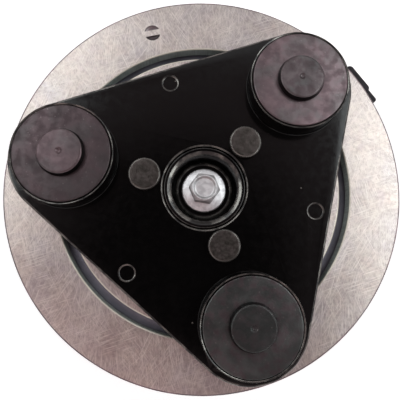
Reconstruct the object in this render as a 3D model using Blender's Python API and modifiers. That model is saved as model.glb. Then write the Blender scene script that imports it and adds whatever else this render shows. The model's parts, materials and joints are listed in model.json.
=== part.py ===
"""Electromagnetic clutch for a belt-driven refrigerant compressor, lying on its mounting face.

The turning axis is +Z and points to the front, where the hub is. The origin is the centre of the
rear mounting face. A ring coil stands still inside a grooved pulley that turns on a ball bearing.
Current in the coil pulls the armature plate back onto the pulley's friction face, against three
rubber dampers that tie it to the hub on the shaft. Lengths are in metres and angles in degrees.
"""

import math

import bmesh
import bpy
from mathutils import Matrix

# Clearances
FIT_GAP = 0.0003
RUN_GAP = 0.0011
REAR_GAP = 0.0015
AIR_GAP = 0.0005
FLUSH = 0.0002

# Mounting plate and connector
MOUNT_PLATE_THICKNESS = 0.0025
MOUNT_COLLAR_WALL = 0.0025
MOUNT_SCREW_RADIUS = 0.0027
MOUNT_SCREW_COUNT = 3
LEAD_COVER_HEIGHT = 0.0028
LEAD_COVER_WIDTH = 0.008
CONNECTOR_ANGLE = 49.7
CONNECTOR_CLEARANCE = 0.0018
CONNECTOR_DEPTH = 0.0119
CONNECTOR_WIDTH = 0.0116
CONNECTOR_FRONT = 0.016
CONNECTOR_WALL = 0.0011
CONNECTOR_LIFT = 0.0006
CONNECTOR_CORNER = 0.0016
CONNECTOR_ROUND = 0.0005
SOCKET_DEPTH = 0.0112
LATCH_LENGTH = 0.0045
LATCH_SETBACK = 0.0007
LATCH_HEIGHT = 0.009
TONGUE_WIDTH = 0.009
TONGUE_REACH = 0.0024
TERMINAL_LENGTH = 0.0055
TERMINAL_WIDTH = 0.0025
TERMINAL_THICKNESS = 0.0008
TERMINAL_SPACING = 0.0036

# Bearing
NOSE_RADIUS = 0.0175
BEARING_SECTION = 0.010
BEARING_WIDTH = 0.020
BEARING_SHOULDER = 0.0021
BALL_RADIUS = 0.003
BALL_COUNT = 10
CAGE_THICKNESS = 0.0022
CAGE_RAIL = 0.0013
SEAL_THICKNESS = 0.0012
SEAL_INSET = 0.0005
CIRCLIP_THICKNESS = 0.0016
CIRCLIP_WIDTH = 0.0032
CIRCLIP_BITE = 0.0011
CIRCLIP_SHOULDER = 0.0012
CIRCLIP_OPENING = 26.0
CIRCLIP_EYE_RADIUS = 0.0009

# Rotor and pulley
ROTOR_HUB_WALL = 0.0028
ROTOR_CUP_WALL = 0.0028
ROTOR_LIP_THICKNESS = 0.0033
ROTOR_LIP_DEPTH = 0.0025
ROTOR_DISC_THICKNESS = 0.005
ROTOR_SLOT_COUNT = 6
ROTOR_SLOT_WIDTH = 0.002
ROTOR_SLOT_BRIDGE = 12.0
ROTOR_INNER_SLOT_INSET = 0.006
ROTOR_OUTER_SLOT_INSET = 0.0022
RIM_WALL = 0.0033
RIM_SETBACK = 0.0004
RIM_FLANGE_WIDTH = 0.0012
RIM_FLANGE_LIP = 0.0016
GROOVE_PITCH = 0.00356
GROOVE_DEPTH = 0.00275
GROOVE_FLOOR = 0.0009
GROOVE_ANGLE = 40.0

# Coil
COIL_WALL = 0.0018
COIL_REAR_WALL = 0.0022
COIL_CHANNEL_WIDTH = 0.0117
BOBBIN_WALL = 0.0014
POTTING_DEPTH = 0.0024

# Armature
ARMATURE_RADIUS = 0.060
ARMATURE_THICKNESS = 0.0045
ARMATURE_CHAMFER = 0.0004
ARMATURE_BORE_GAP = 0.0013
ARMATURE_SLOT_RADIUS = 0.04285
ARMATURE_SLOT_WIDTH = 0.003
ARMATURE_SLOT_MARGIN = 0.0125

# Hub plate with its drawn damper cups
HUB_PLATE_THICKNESS = 0.0037
DAMPER_COUNT = 3
DAMPER_ANGLE = 60.0
DAMPER_CIRCLE_RADIUS = 0.0412
CUP_RADIUS = 0.0145
CUP_WALL = 0.0011
CUP_LIP = 0.00045
CUP_HEIGHT = 0.007
CUP_FILLET = 0.0012
CUP_ENTRY = 0.0005
FILLET_SINK = 0.00008
CORNER_MARGIN = 0.003
COIN_MARK_RADIUS = 0.0023
COIN_MARK_CIRCLE = 0.0334
COIN_MARK_DEPTH = 0.0004

# Damper inside each cup
CAP_THICKNESS = 0.0017
CAP_PROUD = 0.0004
CAP_CHAMFER = 0.0003
PIN_RADIUS = 0.0035
PIN_HEAD_RADIUS = 0.0068
PIN_HEAD_TAPER = 0.0006
PIN_HEAD_HEIGHT = 0.002
PIN_HEAD_CHAMFER = 0.0003
PIN_DIMPLE_RADIUS = 0.0009
PIN_DIMPLE_DEPTH = 0.0004
PIN_FLARE = 0.0013
SLEEVE_WALL = 0.0012
RUBBER_INSET = 0.0007
RUBBER_HOLLOW = 0.0009

# Hub boss, its rivets and the shaft bolt
RIVET_CIRCLE_RADIUS = 0.018
RIVET_RADIUS = 0.0026
RIVET_HEAD_RADIUS = 0.00475
RIVET_HEAD_HEIGHT = 0.0022
RIVET_HEAD_ROUND = 0.001
RIVET_FLARE = 0.0012
BOSS_FLANGE_MARGIN = 0.0008
BOSS_FLANGE_LIFT = 0.0012
BOSS_TUBE_RADIUS = 0.011
BOSS_TUBE_LENGTH = 0.015
SPIGOT_RADIUS = 0.012
RECESS_DEPTH = 0.007
RECESS_MOUTH_RADIUS = 0.0112
RECESS_THROAT_RADIUS = 0.0099
RECESS_FLOOR_RADIUS = 0.0084
RECESS_BEVEL = 0.0007
SEAT_WEB = 0.0028
SPLINE_RADIUS = 0.0059
SPLINE_DEPTH = 0.0007
SPLINE_COUNT = 14
SHIM_THICKNESS = 0.0005
BOLT_RADIUS = 0.00295
BOLT_LENGTH = 0.012
BOLT_FLANGE_RADIUS = 0.0068
BOLT_FLANGE_HEIGHT = 0.0014
BOLT_FLANGE_EDGE = 0.0009
BOLT_HEX_FLATS = 0.008
BOLT_HEX_HEIGHT = 0.0054
BOLT_HEX_TURN = 4.4
BOLT_DISH_RADIUS = 0.0028
BOLT_DISH_DEPTH = 0.0003
BOLT_CHAMFER = 0.0006

# Facets round a full turn
FINE = 60
LARGE = 28
MEDIUM = 24
SMALL = 18
TINY = 12
POCKET_FACETS = 8
BALL_FACETS = 6
BALL_ROWS = 4
CUT_MARGIN = 0.001

# Places along the axis, from the mounting face forward
mount_front = MOUNT_PLATE_THICKNESS
coil_rear = mount_front + FIT_GAP
rotor_rear = coil_rear + LEAD_COVER_HEIGHT + RUN_GAP
rotor_hub_rear = mount_front + REAR_GAP
circlip_rear = rotor_hub_rear + CIRCLIP_SHOULDER + FIT_GAP
circlip_front = circlip_rear + CIRCLIP_THICKNESS
bearing_rear = circlip_front + FIT_GAP
bearing_front = bearing_rear + BEARING_WIDTH
bearing_middle = (bearing_rear + bearing_front) / 2
lip_rear = bearing_front + FIT_GAP
friction_face = lip_rear + ROTOR_LIP_THICKNESS
rotor_disc_rear = friction_face - ROTOR_DISC_THICKNESS
coil_front = rotor_disc_rear - RUN_GAP
armature_rear = friction_face + AIR_GAP
armature_front = armature_rear + ARMATURE_THICKNESS
hub_rear = armature_front + FIT_GAP
hub_front = hub_rear + HUB_PLATE_THICKNESS
cup_rim = hub_front + CUP_HEIGHT
cap_front = cup_rim + CAP_PROUD
cap_rear = cap_front - CAP_THICKNESS
cap_seat = cap_rear - AIR_GAP - FIT_GAP
pin_head_rear = cap_front + FIT_GAP
boss_flange_rear = friction_face + BOSS_FLANGE_LIFT
boss_rear = boss_flange_rear - BOSS_TUBE_LENGTH
recess_floor = hub_front - RECESS_DEPTH
bore_top = recess_floor - SEAT_WEB

# Radii, from the shaft outward
bearing_outer = NOSE_RADIUS + BEARING_SECTION
bearing_pitch = NOSE_RADIUS + BEARING_SECTION / 2
inner_shoulder = bearing_pitch - BEARING_SHOULDER
outer_shoulder = bearing_pitch + BEARING_SHOULDER
race_radius = BALL_RADIUS + FIT_GAP
rotor_bore = bearing_outer + FIT_GAP
rotor_hub_outer = rotor_bore + ROTOR_HUB_WALL
coil_inner = rotor_hub_outer + RUN_GAP
channel_inner = coil_inner + COIL_WALL
channel_outer = channel_inner + COIL_CHANNEL_WIDTH
coil_outer = channel_outer + COIL_WALL
rotor_cup_inner = coil_outer + RUN_GAP
rotor_cup_outer = rotor_cup_inner + ROTOR_CUP_WALL
rim_inner = rotor_cup_outer + FIT_GAP
groove_root = rim_inner + RIM_WALL
groove_tip = groove_root + GROOVE_DEPTH
pulley_outer = groove_tip + RIM_FLANGE_LIP
boss_flange_radius = RIVET_CIRCLE_RADIUS + RIVET_HEAD_RADIUS + BOSS_FLANGE_MARGIN
armature_bore = boss_flange_radius + ARMATURE_BORE_GAP
cup_bore = CUP_RADIUS - CUP_WALL
cap_seat_radius = CUP_RADIUS - CUP_LIP
corner_radius = CUP_RADIUS + CORNER_MARGIN
sleeve_bore = PIN_RADIUS + FIT_GAP
sleeve_outer = sleeve_bore + SLEEVE_WALL
connector_inner = pulley_outer + CONNECTOR_CLEARANCE
connector_outer = connector_inner + CONNECTOR_DEPTH
tongue_end = connector_inner + TONGUE_REACH
shroud_inner = tongue_end + FIT_GAP

damper_angles = [DAMPER_ANGLE + 360.0 * i / DAMPER_COUNT for i in range(DAMPER_COUNT)]


def clear_scene():
    for obj in list(bpy.data.objects):
        bpy.data.objects.remove(obj, do_unlink=True)


def new_collection(name):
    collection = bpy.data.collections.new(name)
    bpy.context.scene.collection.children.link(collection)
    return collection


clear_scene()
PARTS = new_collection("electromagnetic_clutch")
CUTTERS = new_collection("electromagnetic_clutch_cutters")


def material(name, colour, roughness, metallic):
    made = bpy.data.materials.new(name)
    made.use_nodes = True
    shader = made.node_tree.nodes["Principled BSDF"]
    shader.inputs["Base Color"].default_value = (*colour, 1.0)
    shader.inputs["Roughness"].default_value = roughness
    shader.inputs["Metallic"].default_value = metallic
    return made


GROUND_STEEL = material("ground_steel", (0.56, 0.53, 0.51), 0.32, 1.0)
BLACK_PAINT = material("black_paint", (0.012, 0.012, 0.013), 0.28, 0.0)
PHOSPHATE_STEEL = material("phosphate_steel", (0.115, 0.100, 0.102), 0.55, 0.35)
DARK_RIVET = material("dark_rivet", (0.085, 0.075, 0.073), 0.45, 0.5)
BOLT_STEEL = material("bolt_steel", (0.72, 0.71, 0.72), 0.25, 1.0)
RUBBER = material("rubber", (0.018, 0.018, 0.018), 0.85, 0.0)
BEARING_STEEL = material("bearing_steel", (0.62, 0.62, 0.63), 0.18, 1.0)
PLATED_STEEL = material("plated_steel", (0.55, 0.54, 0.50), 0.35, 1.0)
COPPER = material("copper_wire", (0.62, 0.26, 0.12), 0.35, 1.0)
RESIN = material("resin", (0.020, 0.020, 0.022), 0.5, 0.0)
NYLON = material("nylon", (0.55, 0.52, 0.44), 0.5, 0.0)
CONNECTOR_PLASTIC = material("connector_plastic", (0.030, 0.030, 0.034), 0.42, 0.0)
TIN = material("tin_plate", (0.75, 0.74, 0.72), 0.3, 1.0)


def arc(radius, start, end, steps, centre=(0.0, 0.0)):
    """Points on an arc from start to end, both ends included."""
    points = []
    for i in range(steps + 1):
        turn = math.radians(start + (end - start) * i / steps)
        points.append((centre[0] + radius * math.cos(turn), centre[1] + radius * math.sin(turn)))
    return points


def ring(radius, steps, centre=(0.0, 0.0)):
    return arc(radius, 0.0, 360.0, steps, centre)[:-1]


def polar(radius, angle):
    return radius * math.cos(math.radians(angle)), radius * math.sin(math.radians(angle))


def arc_slot(radius, width, start, end, steps):
    """Outline of a curved slot with round ends on its middle radius."""
    half = width / 2
    outline = arc(radius + half, start, end, steps)
    outline += arc(half, end, end + 180.0, 4, polar(radius, end))[1:-1]
    outline += arc(radius - half, end, start, steps)
    outline += arc(half, start + 180.0, start + 360.0, 4, polar(radius, start))[1:-1]
    return outline


def link(obj, cutter):
    if cutter:
        CUTTERS.objects.link(obj)
        obj.hide_render = True
        obj.display_type = "WIRE"
    else:
        PARTS.objects.link(obj)
    return obj


def turned(name, profile, facets, cutter=False, to_axis=False):
    """A turned piece. The profile runs down its outer side, and closes unless it ends on the axis."""
    count = len(profile)
    edges = [(i, (i + 1) % count) for i in range(count - 1 if to_axis else count)]
    mesh = bpy.data.meshes.new(name)
    mesh.from_pydata([(radius, 0.0, height) for radius, height in profile], edges, [])
    obj = link(bpy.data.objects.new(name, mesh), cutter)
    screw = obj.modifiers.new("Turn", "SCREW")
    screw.axis = "Z"
    screw.angle = 2 * math.pi
    screw.steps = facets
    screw.render_steps = facets
    screw.use_merge_vertices = True
    screw.merge_threshold = 0.00001
    return obj


def extruded(name, outlines, low, high, cutter=False):
    """A flat outline, with its holes, extruded from low to high."""
    curve = bpy.data.curves.new(name, "CURVE")
    curve.dimensions = "2D"
    curve.fill_mode = "BOTH"
    curve.extrude = (high - low) / 2
    for outline in outlines:
        spline = curve.splines.new("POLY")
        spline.points.add(len(outline) - 1)
        for point, (x, y) in zip(spline.points, outline):
            point.co = (x, y, 0.0, 1.0)
        spline.use_cyclic_u = True
    guide = bpy.data.objects.new(name + "_outline", curve)
    guide.location.z = (low + high) / 2
    PARTS.objects.link(guide)
    bpy.context.view_layer.update()
    graph = bpy.context.evaluated_depsgraph_get()
    mesh = bpy.data.meshes.new_from_object(guide.evaluated_get(graph))
    mesh.name = name
    mesh.transform(guide.matrix_world)
    bpy.data.objects.remove(guide, do_unlink=True)
    bpy.data.curves.remove(curve)
    cage = bmesh.new()
    cage.from_mesh(mesh)
    bmesh.ops.remove_doubles(cage, verts=cage.verts, dist=0.000001)
    bmesh.ops.recalc_face_normals(cage, faces=cage.faces)
    cage.to_mesh(mesh)
    cage.free()
    return link(bpy.data.objects.new(name, mesh), cutter)


def rounded_block(name, low, high, radius, cutter=False):
    """A box between two corners with its four upright edges rounded."""
    left, right = low[0] + radius, high[0] - radius
    near, far = low[1] + radius, high[1] - radius
    outline = []
    for turn, centre in enumerate([(right, far), (left, far), (left, near), (right, near)]):
        outline += arc(radius, 90.0 * turn, 90.0 * (turn + 1), 3, centre)
    return extruded(name, [outline], low[2], high[2], cutter)


def block(name, low, high, cutter=False):
    """A box between two corners."""
    size = [b - a for a, b in zip(low, high)]
    centre = [(a + b) / 2 for a, b in zip(low, high)]
    cage = bmesh.new()
    bmesh.ops.create_cube(cage, size=1.0, matrix=Matrix.Translation(centre) @ Matrix.Diagonal((*size, 1.0)))
    mesh = bpy.data.meshes.new(name)
    cage.to_mesh(mesh)
    cage.free()
    return link(bpy.data.objects.new(name, mesh), cutter)


def combine(obj, other, operation):
    boolean = obj.modifiers.new(operation.title(), "BOOLEAN")
    boolean.operation = operation
    boolean.solver = "EXACT"
    boolean.object = other
    return obj


def cut(obj, *cutters):
    for cutter in cutters:
        combine(obj, cutter, "DIFFERENCE")
    return obj


def join(obj, *others):
    for other in others:
        combine(obj, other, "UNION")
    return obj


def finish(obj, look, parent):
    """Applies the modifiers, shades round faces smooth and hangs the piece on its axis."""
    bpy.context.view_layer.update()
    graph = bpy.context.evaluated_depsgraph_get()
    mesh = bpy.data.meshes.new_from_object(obj.evaluated_get(graph))
    mesh.name = obj.name
    obj.modifiers.clear()
    obj.data = mesh
    mesh.materials.clear()
    mesh.materials.append(look)
    mesh.shade_smooth()
    mesh.set_sharp_from_angle(angle=math.radians(32.0))
    obj.parent = parent
    return obj


def axis_empty(name):
    """An empty on the turning axis, which carries the pieces that move as one body."""
    empty = bpy.data.objects.new(name, None)
    empty.empty_display_size = ARMATURE_RADIUS
    PARTS.objects.link(empty)
    return empty


def copies(first, places, look, parent):
    """Finishes a piece and puts a copy of it, with the same mesh, at each place in turn."""
    finish(first, look, parent)
    base = first.name
    for number, (x, y) in enumerate(places, start=1):
        obj = first if number == 1 else link(first.copy(), False)
        obj.name = f"{base}_{number}"
        obj.location.x = x
        obj.location.y = y
        obj.rotation_euler.z = math.atan2(y, x)


def drill(name, radius, low, high, facets):
    """Cutter for a straight round hole."""
    profile = [(0.0, high), (radius, high), (radius, low), (0.0, low)]
    return turned(name, profile, facets, cutter=True, to_axis=True)


def flared_drill(name, radius, flare, face, high, facets):
    """Cutter for a hole that opens out at 45 degrees to its rear face, where a rivet is upset."""
    return turned(name, [
        (0.0, high),
        (radius, high),
        (radius, face + flare),
        (radius + flare + CUT_MARGIN, face - CUT_MARGIN),
        (0.0, face - CUT_MARGIN),
    ], facets, cutter=True, to_axis=True)


def patterned(cutter, places):
    """Makes one cutter out of copies of it at each place."""
    bpy.context.view_layer.update()
    graph = bpy.context.evaluated_depsgraph_get()
    mesh = bpy.data.meshes.new_from_object(cutter.evaluated_get(graph))
    pattern = bmesh.new()
    for x, y in places:
        before = len(pattern.verts)
        pattern.from_mesh(mesh)
        pattern.verts.ensure_lookup_table()
        bmesh.ops.translate(pattern, verts=pattern.verts[before:], vec=(x, y, 0.0))
    pattern.to_mesh(mesh)
    pattern.free()
    cutter.modifiers.clear()
    cutter.data = mesh
    return cutter


def mounting_plate(fixed):
    """Ring plate with a drawn collar for the bearing's inner ring and a tongue for the connector."""
    half = TONGUE_WIDTH / 2
    spread = math.degrees(math.asin(half / coil_outer))
    outline = arc(coil_outer, spread, 360.0 - spread, LARGE)
    outline += [(tongue_end, -half), (tongue_end, half)]
    screw_circle = (NOSE_RADIUS + MOUNT_COLLAR_WALL + coil_inner) / 2
    holes = [ring(NOSE_RADIUS, MEDIUM)]
    for i in range(MOUNT_SCREW_COUNT):
        turn = 360.0 * (i + 0.5) / MOUNT_SCREW_COUNT
        holes.append(ring(MOUNT_SCREW_RADIUS, TINY, polar(screw_circle, turn)))
    plate = extruded("mounting_plate", [outline] + holes, 0.0, mount_front)
    collar_outer = NOSE_RADIUS + MOUNT_COLLAR_WALL
    collar_root = mount_front - MOUNT_PLATE_THICKNESS / 2
    collar_front = bearing_rear - FIT_GAP
    collar = turned("mounting_collar", [
        (collar_outer, collar_front),
        (collar_outer, collar_root),
        (NOSE_RADIUS, collar_root),
        (NOSE_RADIUS, collar_front),
    ], MEDIUM, cutter=True)
    join(plate, collar)
    finish(plate, PLATED_STEEL, fixed)
    plate.rotation_euler.z = math.radians(CONNECTOR_ANGLE)


def coil(fixed):
    """Steel channel that holds the bobbin, its winding and the resin that seals them."""
    floor = coil_rear + COIL_REAR_WALL
    housing = turned("coil_housing", [
        (coil_outer, coil_front),
        (coil_outer, coil_rear),
        (coil_inner, coil_rear),
        (coil_inner, coil_front),
        (channel_inner, coil_front),
        (channel_inner, floor),
        (channel_outer, floor),
        (channel_outer, coil_front),
    ], MEDIUM)
    finish(housing, PLATED_STEEL, fixed)
    inner = channel_inner + FIT_GAP
    outer = channel_outer - FIT_GAP
    rear = floor + FIT_GAP
    front = coil_front - FLUSH - POTTING_DEPTH - FIT_GAP
    bobbin = turned("coil_bobbin", [
        (outer, front),
        (outer, front - BOBBIN_WALL),
        (inner + BOBBIN_WALL, front - BOBBIN_WALL),
        (inner + BOBBIN_WALL, rear + BOBBIN_WALL),
        (outer, rear + BOBBIN_WALL),
        (outer, rear),
        (inner, rear),
        (inner, front),
    ], MEDIUM)
    finish(bobbin, NYLON, fixed)
    winding = turned("coil_winding", [
        (outer, front - BOBBIN_WALL - FIT_GAP),
        (outer, rear + BOBBIN_WALL + FIT_GAP),
        (inner + BOBBIN_WALL + FIT_GAP, rear + BOBBIN_WALL + FIT_GAP),
        (inner + BOBBIN_WALL + FIT_GAP, front - BOBBIN_WALL - FIT_GAP),
    ], MEDIUM)
    finish(winding, COPPER, fixed)
    potting = turned("coil_potting", [
        (outer, coil_front - FLUSH),
        (outer, front + FIT_GAP),
        (inner, front + FIT_GAP),
        (inner, coil_front - FLUSH),
    ], MEDIUM)
    finish(potting, RESIN, fixed)


def connector(fixed):
    """Moulded plug housing behind the pulley, with its mouth to the rear, and its lead cover."""
    half = CONNECTOR_WIDTH / 2
    foot = mount_front + FIT_GAP
    body = rounded_block(
        "connector_housing",
        (connector_inner, -half, foot),
        (connector_outer, half, CONNECTOR_FRONT),
        CONNECTOR_CORNER,
    )
    shroud = rounded_block(
        "connector_shroud",
        (shroud_inner, -half, CONNECTOR_LIFT),
        (connector_outer, half, foot + CONNECTOR_WALL),
        CONNECTOR_CORNER,
        cutter=True,
    )
    latch_front = CONNECTOR_FRONT - CONNECTOR_WALL
    latch = block(
        "connector_latch",
        (shroud_inner, -half - LATCH_LENGTH, latch_front - LATCH_HEIGHT),
        (connector_outer - LATCH_SETBACK, -half + CONNECTOR_WALL, latch_front),
        cutter=True,
    )
    join(body, shroud, latch)
    weld = body.modifiers.new("Weld", "WELD")
    weld.merge_threshold = 0.00001
    bevel = body.modifiers.new("Round", "BEVEL")
    bevel.width = CONNECTOR_ROUND
    bevel.segments = 1
    bevel.limit_method = "ANGLE"
    socket_top = CONNECTOR_LIFT + SOCKET_DEPTH
    socket = block(
        "connector_socket",
        (shroud_inner + CONNECTOR_WALL, -half + CONNECTOR_WALL, -CUT_MARGIN),
        (connector_outer - CONNECTOR_WALL, half - CONNECTOR_WALL, socket_top),
        cutter=True,
    )
    cut(body, socket)
    middle = (shroud_inner + connector_outer) / 2
    root = (CONNECTOR_FRONT - socket_top) / 2
    terminals = []
    for number, side in enumerate((-1, 1), start=1):
        low = (middle - TERMINAL_WIDTH / 2, side * TERMINAL_SPACING / 2 - TERMINAL_THICKNESS / 2)
        high = (middle + TERMINAL_WIDTH / 2, side * TERMINAL_SPACING / 2 + TERMINAL_THICKNESS / 2)
        pocket = block(
            f"terminal_pocket_{number}",
            (low[0] - FIT_GAP, low[1] - FIT_GAP, socket_top - CUT_MARGIN),
            (high[0] + FIT_GAP, high[1] + FIT_GAP, socket_top + root),
            cutter=True,
        )
        cut(body, pocket)
        terminals.append(block(
            f"connector_terminal_{number}",
            (*low, socket_top - TERMINAL_LENGTH),
            (*high, socket_top + root - FIT_GAP),
        ))
    finish(body, CONNECTOR_PLASTIC, fixed)
    body.rotation_euler.z = math.radians(CONNECTOR_ANGLE)
    for terminal in terminals:
        finish(terminal, TIN, fixed)
        terminal.rotation_euler.z = math.radians(CONNECTOR_ANGLE)
    cover = block(
        "lead_cover",
        (coil_outer + FIT_GAP, -LEAD_COVER_WIDTH / 2, coil_rear),
        (connector_inner - FIT_GAP, LEAD_COVER_WIDTH / 2, coil_rear + LEAD_COVER_HEIGHT),
    )
    finish(cover, CONNECTOR_PLASTIC, fixed)
    cover.rotation_euler.z = math.radians(CONNECTOR_ANGLE)


def race(side, steps):
    """Half-round ball track in a ring's profile, from front to rear. Side is 1 in the outer ring."""
    reach = math.degrees(math.acos(BEARING_SHOULDER / race_radius))
    points = []
    for i in range(steps + 1):
        turn = math.radians(reach - 2 * reach * i / steps)
        points.append((
            bearing_pitch + side * race_radius * math.cos(turn),
            bearing_middle + race_radius * math.sin(turn),
        ))
    return points


def bearing(fixed, pulley, train):
    """Sealed ball bearing, with the circlip that keeps it in the rotor."""
    inner = turned("bearing_inner_ring", [(inner_shoulder, bearing_front)] + race(-1, 4) + [
        (inner_shoulder, bearing_rear),
        (NOSE_RADIUS, bearing_rear),
        (NOSE_RADIUS, bearing_front),
    ], MEDIUM)
    finish(inner, BEARING_STEEL, fixed)
    outer = turned("bearing_outer_ring", [
        (bearing_outer, bearing_front),
        (bearing_outer, bearing_rear),
        (outer_shoulder, bearing_rear),
    ] + race(1, 4)[::-1] + [(outer_shoulder, bearing_front)], MEDIUM)
    finish(outer, BEARING_STEEL, pulley)
    seal_rears = {
        "bearing_seal_rear": bearing_rear + SEAL_INSET,
        "bearing_seal_front": bearing_front - SEAL_INSET - SEAL_THICKNESS,
    }
    for name, rear in seal_rears.items():
        seal = turned(name, [
            (outer_shoulder - FIT_GAP, rear + SEAL_THICKNESS),
            (outer_shoulder - FIT_GAP, rear),
            (inner_shoulder + FIT_GAP, rear),
            (inner_shoulder + FIT_GAP, rear + SEAL_THICKNESS),
        ], MEDIUM)
        finish(seal, RUBBER, pulley)
    half_height = race_radius + CAGE_RAIL
    cage = turned("bearing_cage", [
        (bearing_pitch + CAGE_THICKNESS / 2, bearing_middle + half_height),
        (bearing_pitch + CAGE_THICKNESS / 2, bearing_middle - half_height),
        (bearing_pitch - CAGE_THICKNESS / 2, bearing_middle - half_height),
        (bearing_pitch - CAGE_THICKNESS / 2, bearing_middle + half_height),
    ], MEDIUM)
    pockets = bmesh.new()
    balls = []
    for i in range(BALL_COUNT):
        turn = 360.0 * i / BALL_COUNT
        balls.append(polar(bearing_pitch, turn))
        lie_down = Matrix.Rotation(math.radians(90.0), 4, "Y")
        place = Matrix.Translation((bearing_pitch, 0.0, bearing_middle))
        bmesh.ops.create_cone(
            pockets,
            cap_ends=True,
            segments=POCKET_FACETS,
            radius1=race_radius,
            radius2=race_radius,
            depth=CAGE_THICKNESS + 2 * CUT_MARGIN,
            matrix=Matrix.Rotation(math.radians(turn), 4, "Z") @ place @ lie_down,
        )
    mesh = bpy.data.meshes.new("cage_pockets")
    pockets.to_mesh(mesh)
    pockets.free()
    cut(cage, link(bpy.data.objects.new("cage_pockets", mesh), True))
    finish(cage, NYLON, train)
    sphere = bmesh.new()
    bmesh.ops.create_uvsphere(sphere, u_segments=BALL_FACETS, v_segments=BALL_ROWS, radius=BALL_RADIUS)
    mesh = bpy.data.meshes.new("bearing_ball")
    sphere.to_mesh(mesh)
    sphere.free()
    ball = link(bpy.data.objects.new("bearing_ball", mesh), False)
    ball.location.z = bearing_middle
    copies(ball, balls, BEARING_STEEL, train)
    circlip(pulley)


def circlip(pulley):
    """Open retaining ring with an eye at each end for pliers."""
    outer = rotor_bore + CIRCLIP_BITE - FIT_GAP
    inner = outer - CIRCLIP_WIDTH
    start = CIRCLIP_OPENING / 2
    outline = arc(outer, start, 360.0 - start, MEDIUM)
    outline += arc(inner, 360.0 - start, start, MEDIUM)
    eye_turn = start + math.degrees(CIRCLIP_WIDTH / 2 / inner)
    middle = (outer + inner) / 2
    eyes = [ring(CIRCLIP_EYE_RADIUS, 8, polar(middle, side * eye_turn)) for side in (-1, 1)]
    clip = extruded("bearing_circlip", [outline] + eyes, circlip_rear, circlip_front)
    finish(clip, PLATED_STEEL, pulley)


def rotor(pulley):
    """Steel cup with the bearing seat in its middle and flux slots through its friction face."""
    groove = rotor_bore + CIRCLIP_BITE
    body = turned("rotor", [
        (rotor_cup_outer, friction_face),
        (rotor_cup_outer, rotor_rear),
        (rotor_cup_inner, rotor_rear),
        (rotor_cup_inner, rotor_disc_rear),
        (rotor_hub_outer, rotor_disc_rear),
        (rotor_hub_outer, rotor_hub_rear),
        (rotor_bore, rotor_hub_rear),
        (rotor_bore, circlip_rear - FIT_GAP),
        (groove, circlip_rear - FIT_GAP),
        (groove, circlip_front + FIT_GAP / 2),
        (rotor_bore, circlip_front + FIT_GAP / 2),
        (rotor_bore, lip_rear),
        (rotor_bore - ROTOR_LIP_DEPTH, lip_rear),
        (rotor_bore - ROTOR_LIP_DEPTH, friction_face),
    ], LARGE)
    pitch = 360.0 / ROTOR_SLOT_COUNT
    rows = (rotor_hub_outer + ROTOR_INNER_SLOT_INSET, rotor_cup_inner - ROTOR_OUTER_SLOT_INSET)
    slots = []
    for row, radius in enumerate(rows):
        for i in range(ROTOR_SLOT_COUNT):
            start = pitch * (i + row / 2) + ROTOR_SLOT_BRIDGE / 2
            slots.append(arc_slot(radius, ROTOR_SLOT_WIDTH, start, start + pitch - ROTOR_SLOT_BRIDGE, 4))
    low = rotor_disc_rear - CUT_MARGIN
    cut(body, extruded("rotor_slots", slots, low, friction_face + CUT_MARGIN, cutter=True))
    finish(body, GROUND_STEEL, pulley)


def pulley_rim(pulley):
    """Ribbed belt rim between two flanges, welded round the rotor."""
    front = friction_face - RIM_SETBACK
    width = front - rotor_rear
    count = int((width - 2 * RIM_FLANGE_WIDTH) / GROOVE_PITCH)
    flange = (width - count * GROOVE_PITCH) / 2
    half_floor = GROOVE_FLOOR / 2
    half_mouth = half_floor + GROOVE_DEPTH * math.tan(math.radians(GROOVE_ANGLE / 2))
    profile = [(pulley_outer, front), (pulley_outer, front - flange)]
    for i in range(count):
        middle = front - flange - GROOVE_PITCH * (i + 0.5)
        profile += [
            (groove_tip, middle + half_mouth),
            (groove_root, middle + half_floor),
            (groove_root, middle - half_floor),
            (groove_tip, middle - half_mouth),
        ]
    profile += [(pulley_outer, rotor_rear + flange), (pulley_outer, rotor_rear)]
    profile += [(rim_inner, rotor_rear), (rim_inner, front)]
    finish(turned("pulley_rim", profile, LARGE), PLATED_STEEL, pulley)


def armature_plate(armature):
    """Ground steel ring plate with three curved flux slots and the holes for the damper pins."""
    plate = turned("armature_plate", [
        (ARMATURE_RADIUS - ARMATURE_CHAMFER, armature_front),
        (ARMATURE_RADIUS, armature_front - ARMATURE_CHAMFER),
        (ARMATURE_RADIUS, armature_rear),
        (armature_bore, armature_rear),
        (armature_bore, armature_front),
    ], FINE)
    margin = math.degrees(ARMATURE_SLOT_MARGIN / ARMATURE_SLOT_RADIUS)
    slots = []
    for angle in damper_angles:
        end = angle + 360.0 / DAMPER_COUNT - margin
        slots.append(arc_slot(ARMATURE_SLOT_RADIUS, ARMATURE_SLOT_WIDTH, angle + margin, end, 10))
    high = armature_front + CUT_MARGIN
    cut(plate, extruded("armature_slots", slots, armature_rear - CUT_MARGIN, high, cutter=True))
    holes = flared_drill("pin_holes", sleeve_bore, PIN_FLARE, armature_rear, high, TINY)
    cut(plate, patterned(holes, [polar(DAMPER_CIRCLE_RADIUS, angle) for angle in damper_angles]))
    finish(plate, GROUND_STEEL, armature)


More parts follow.
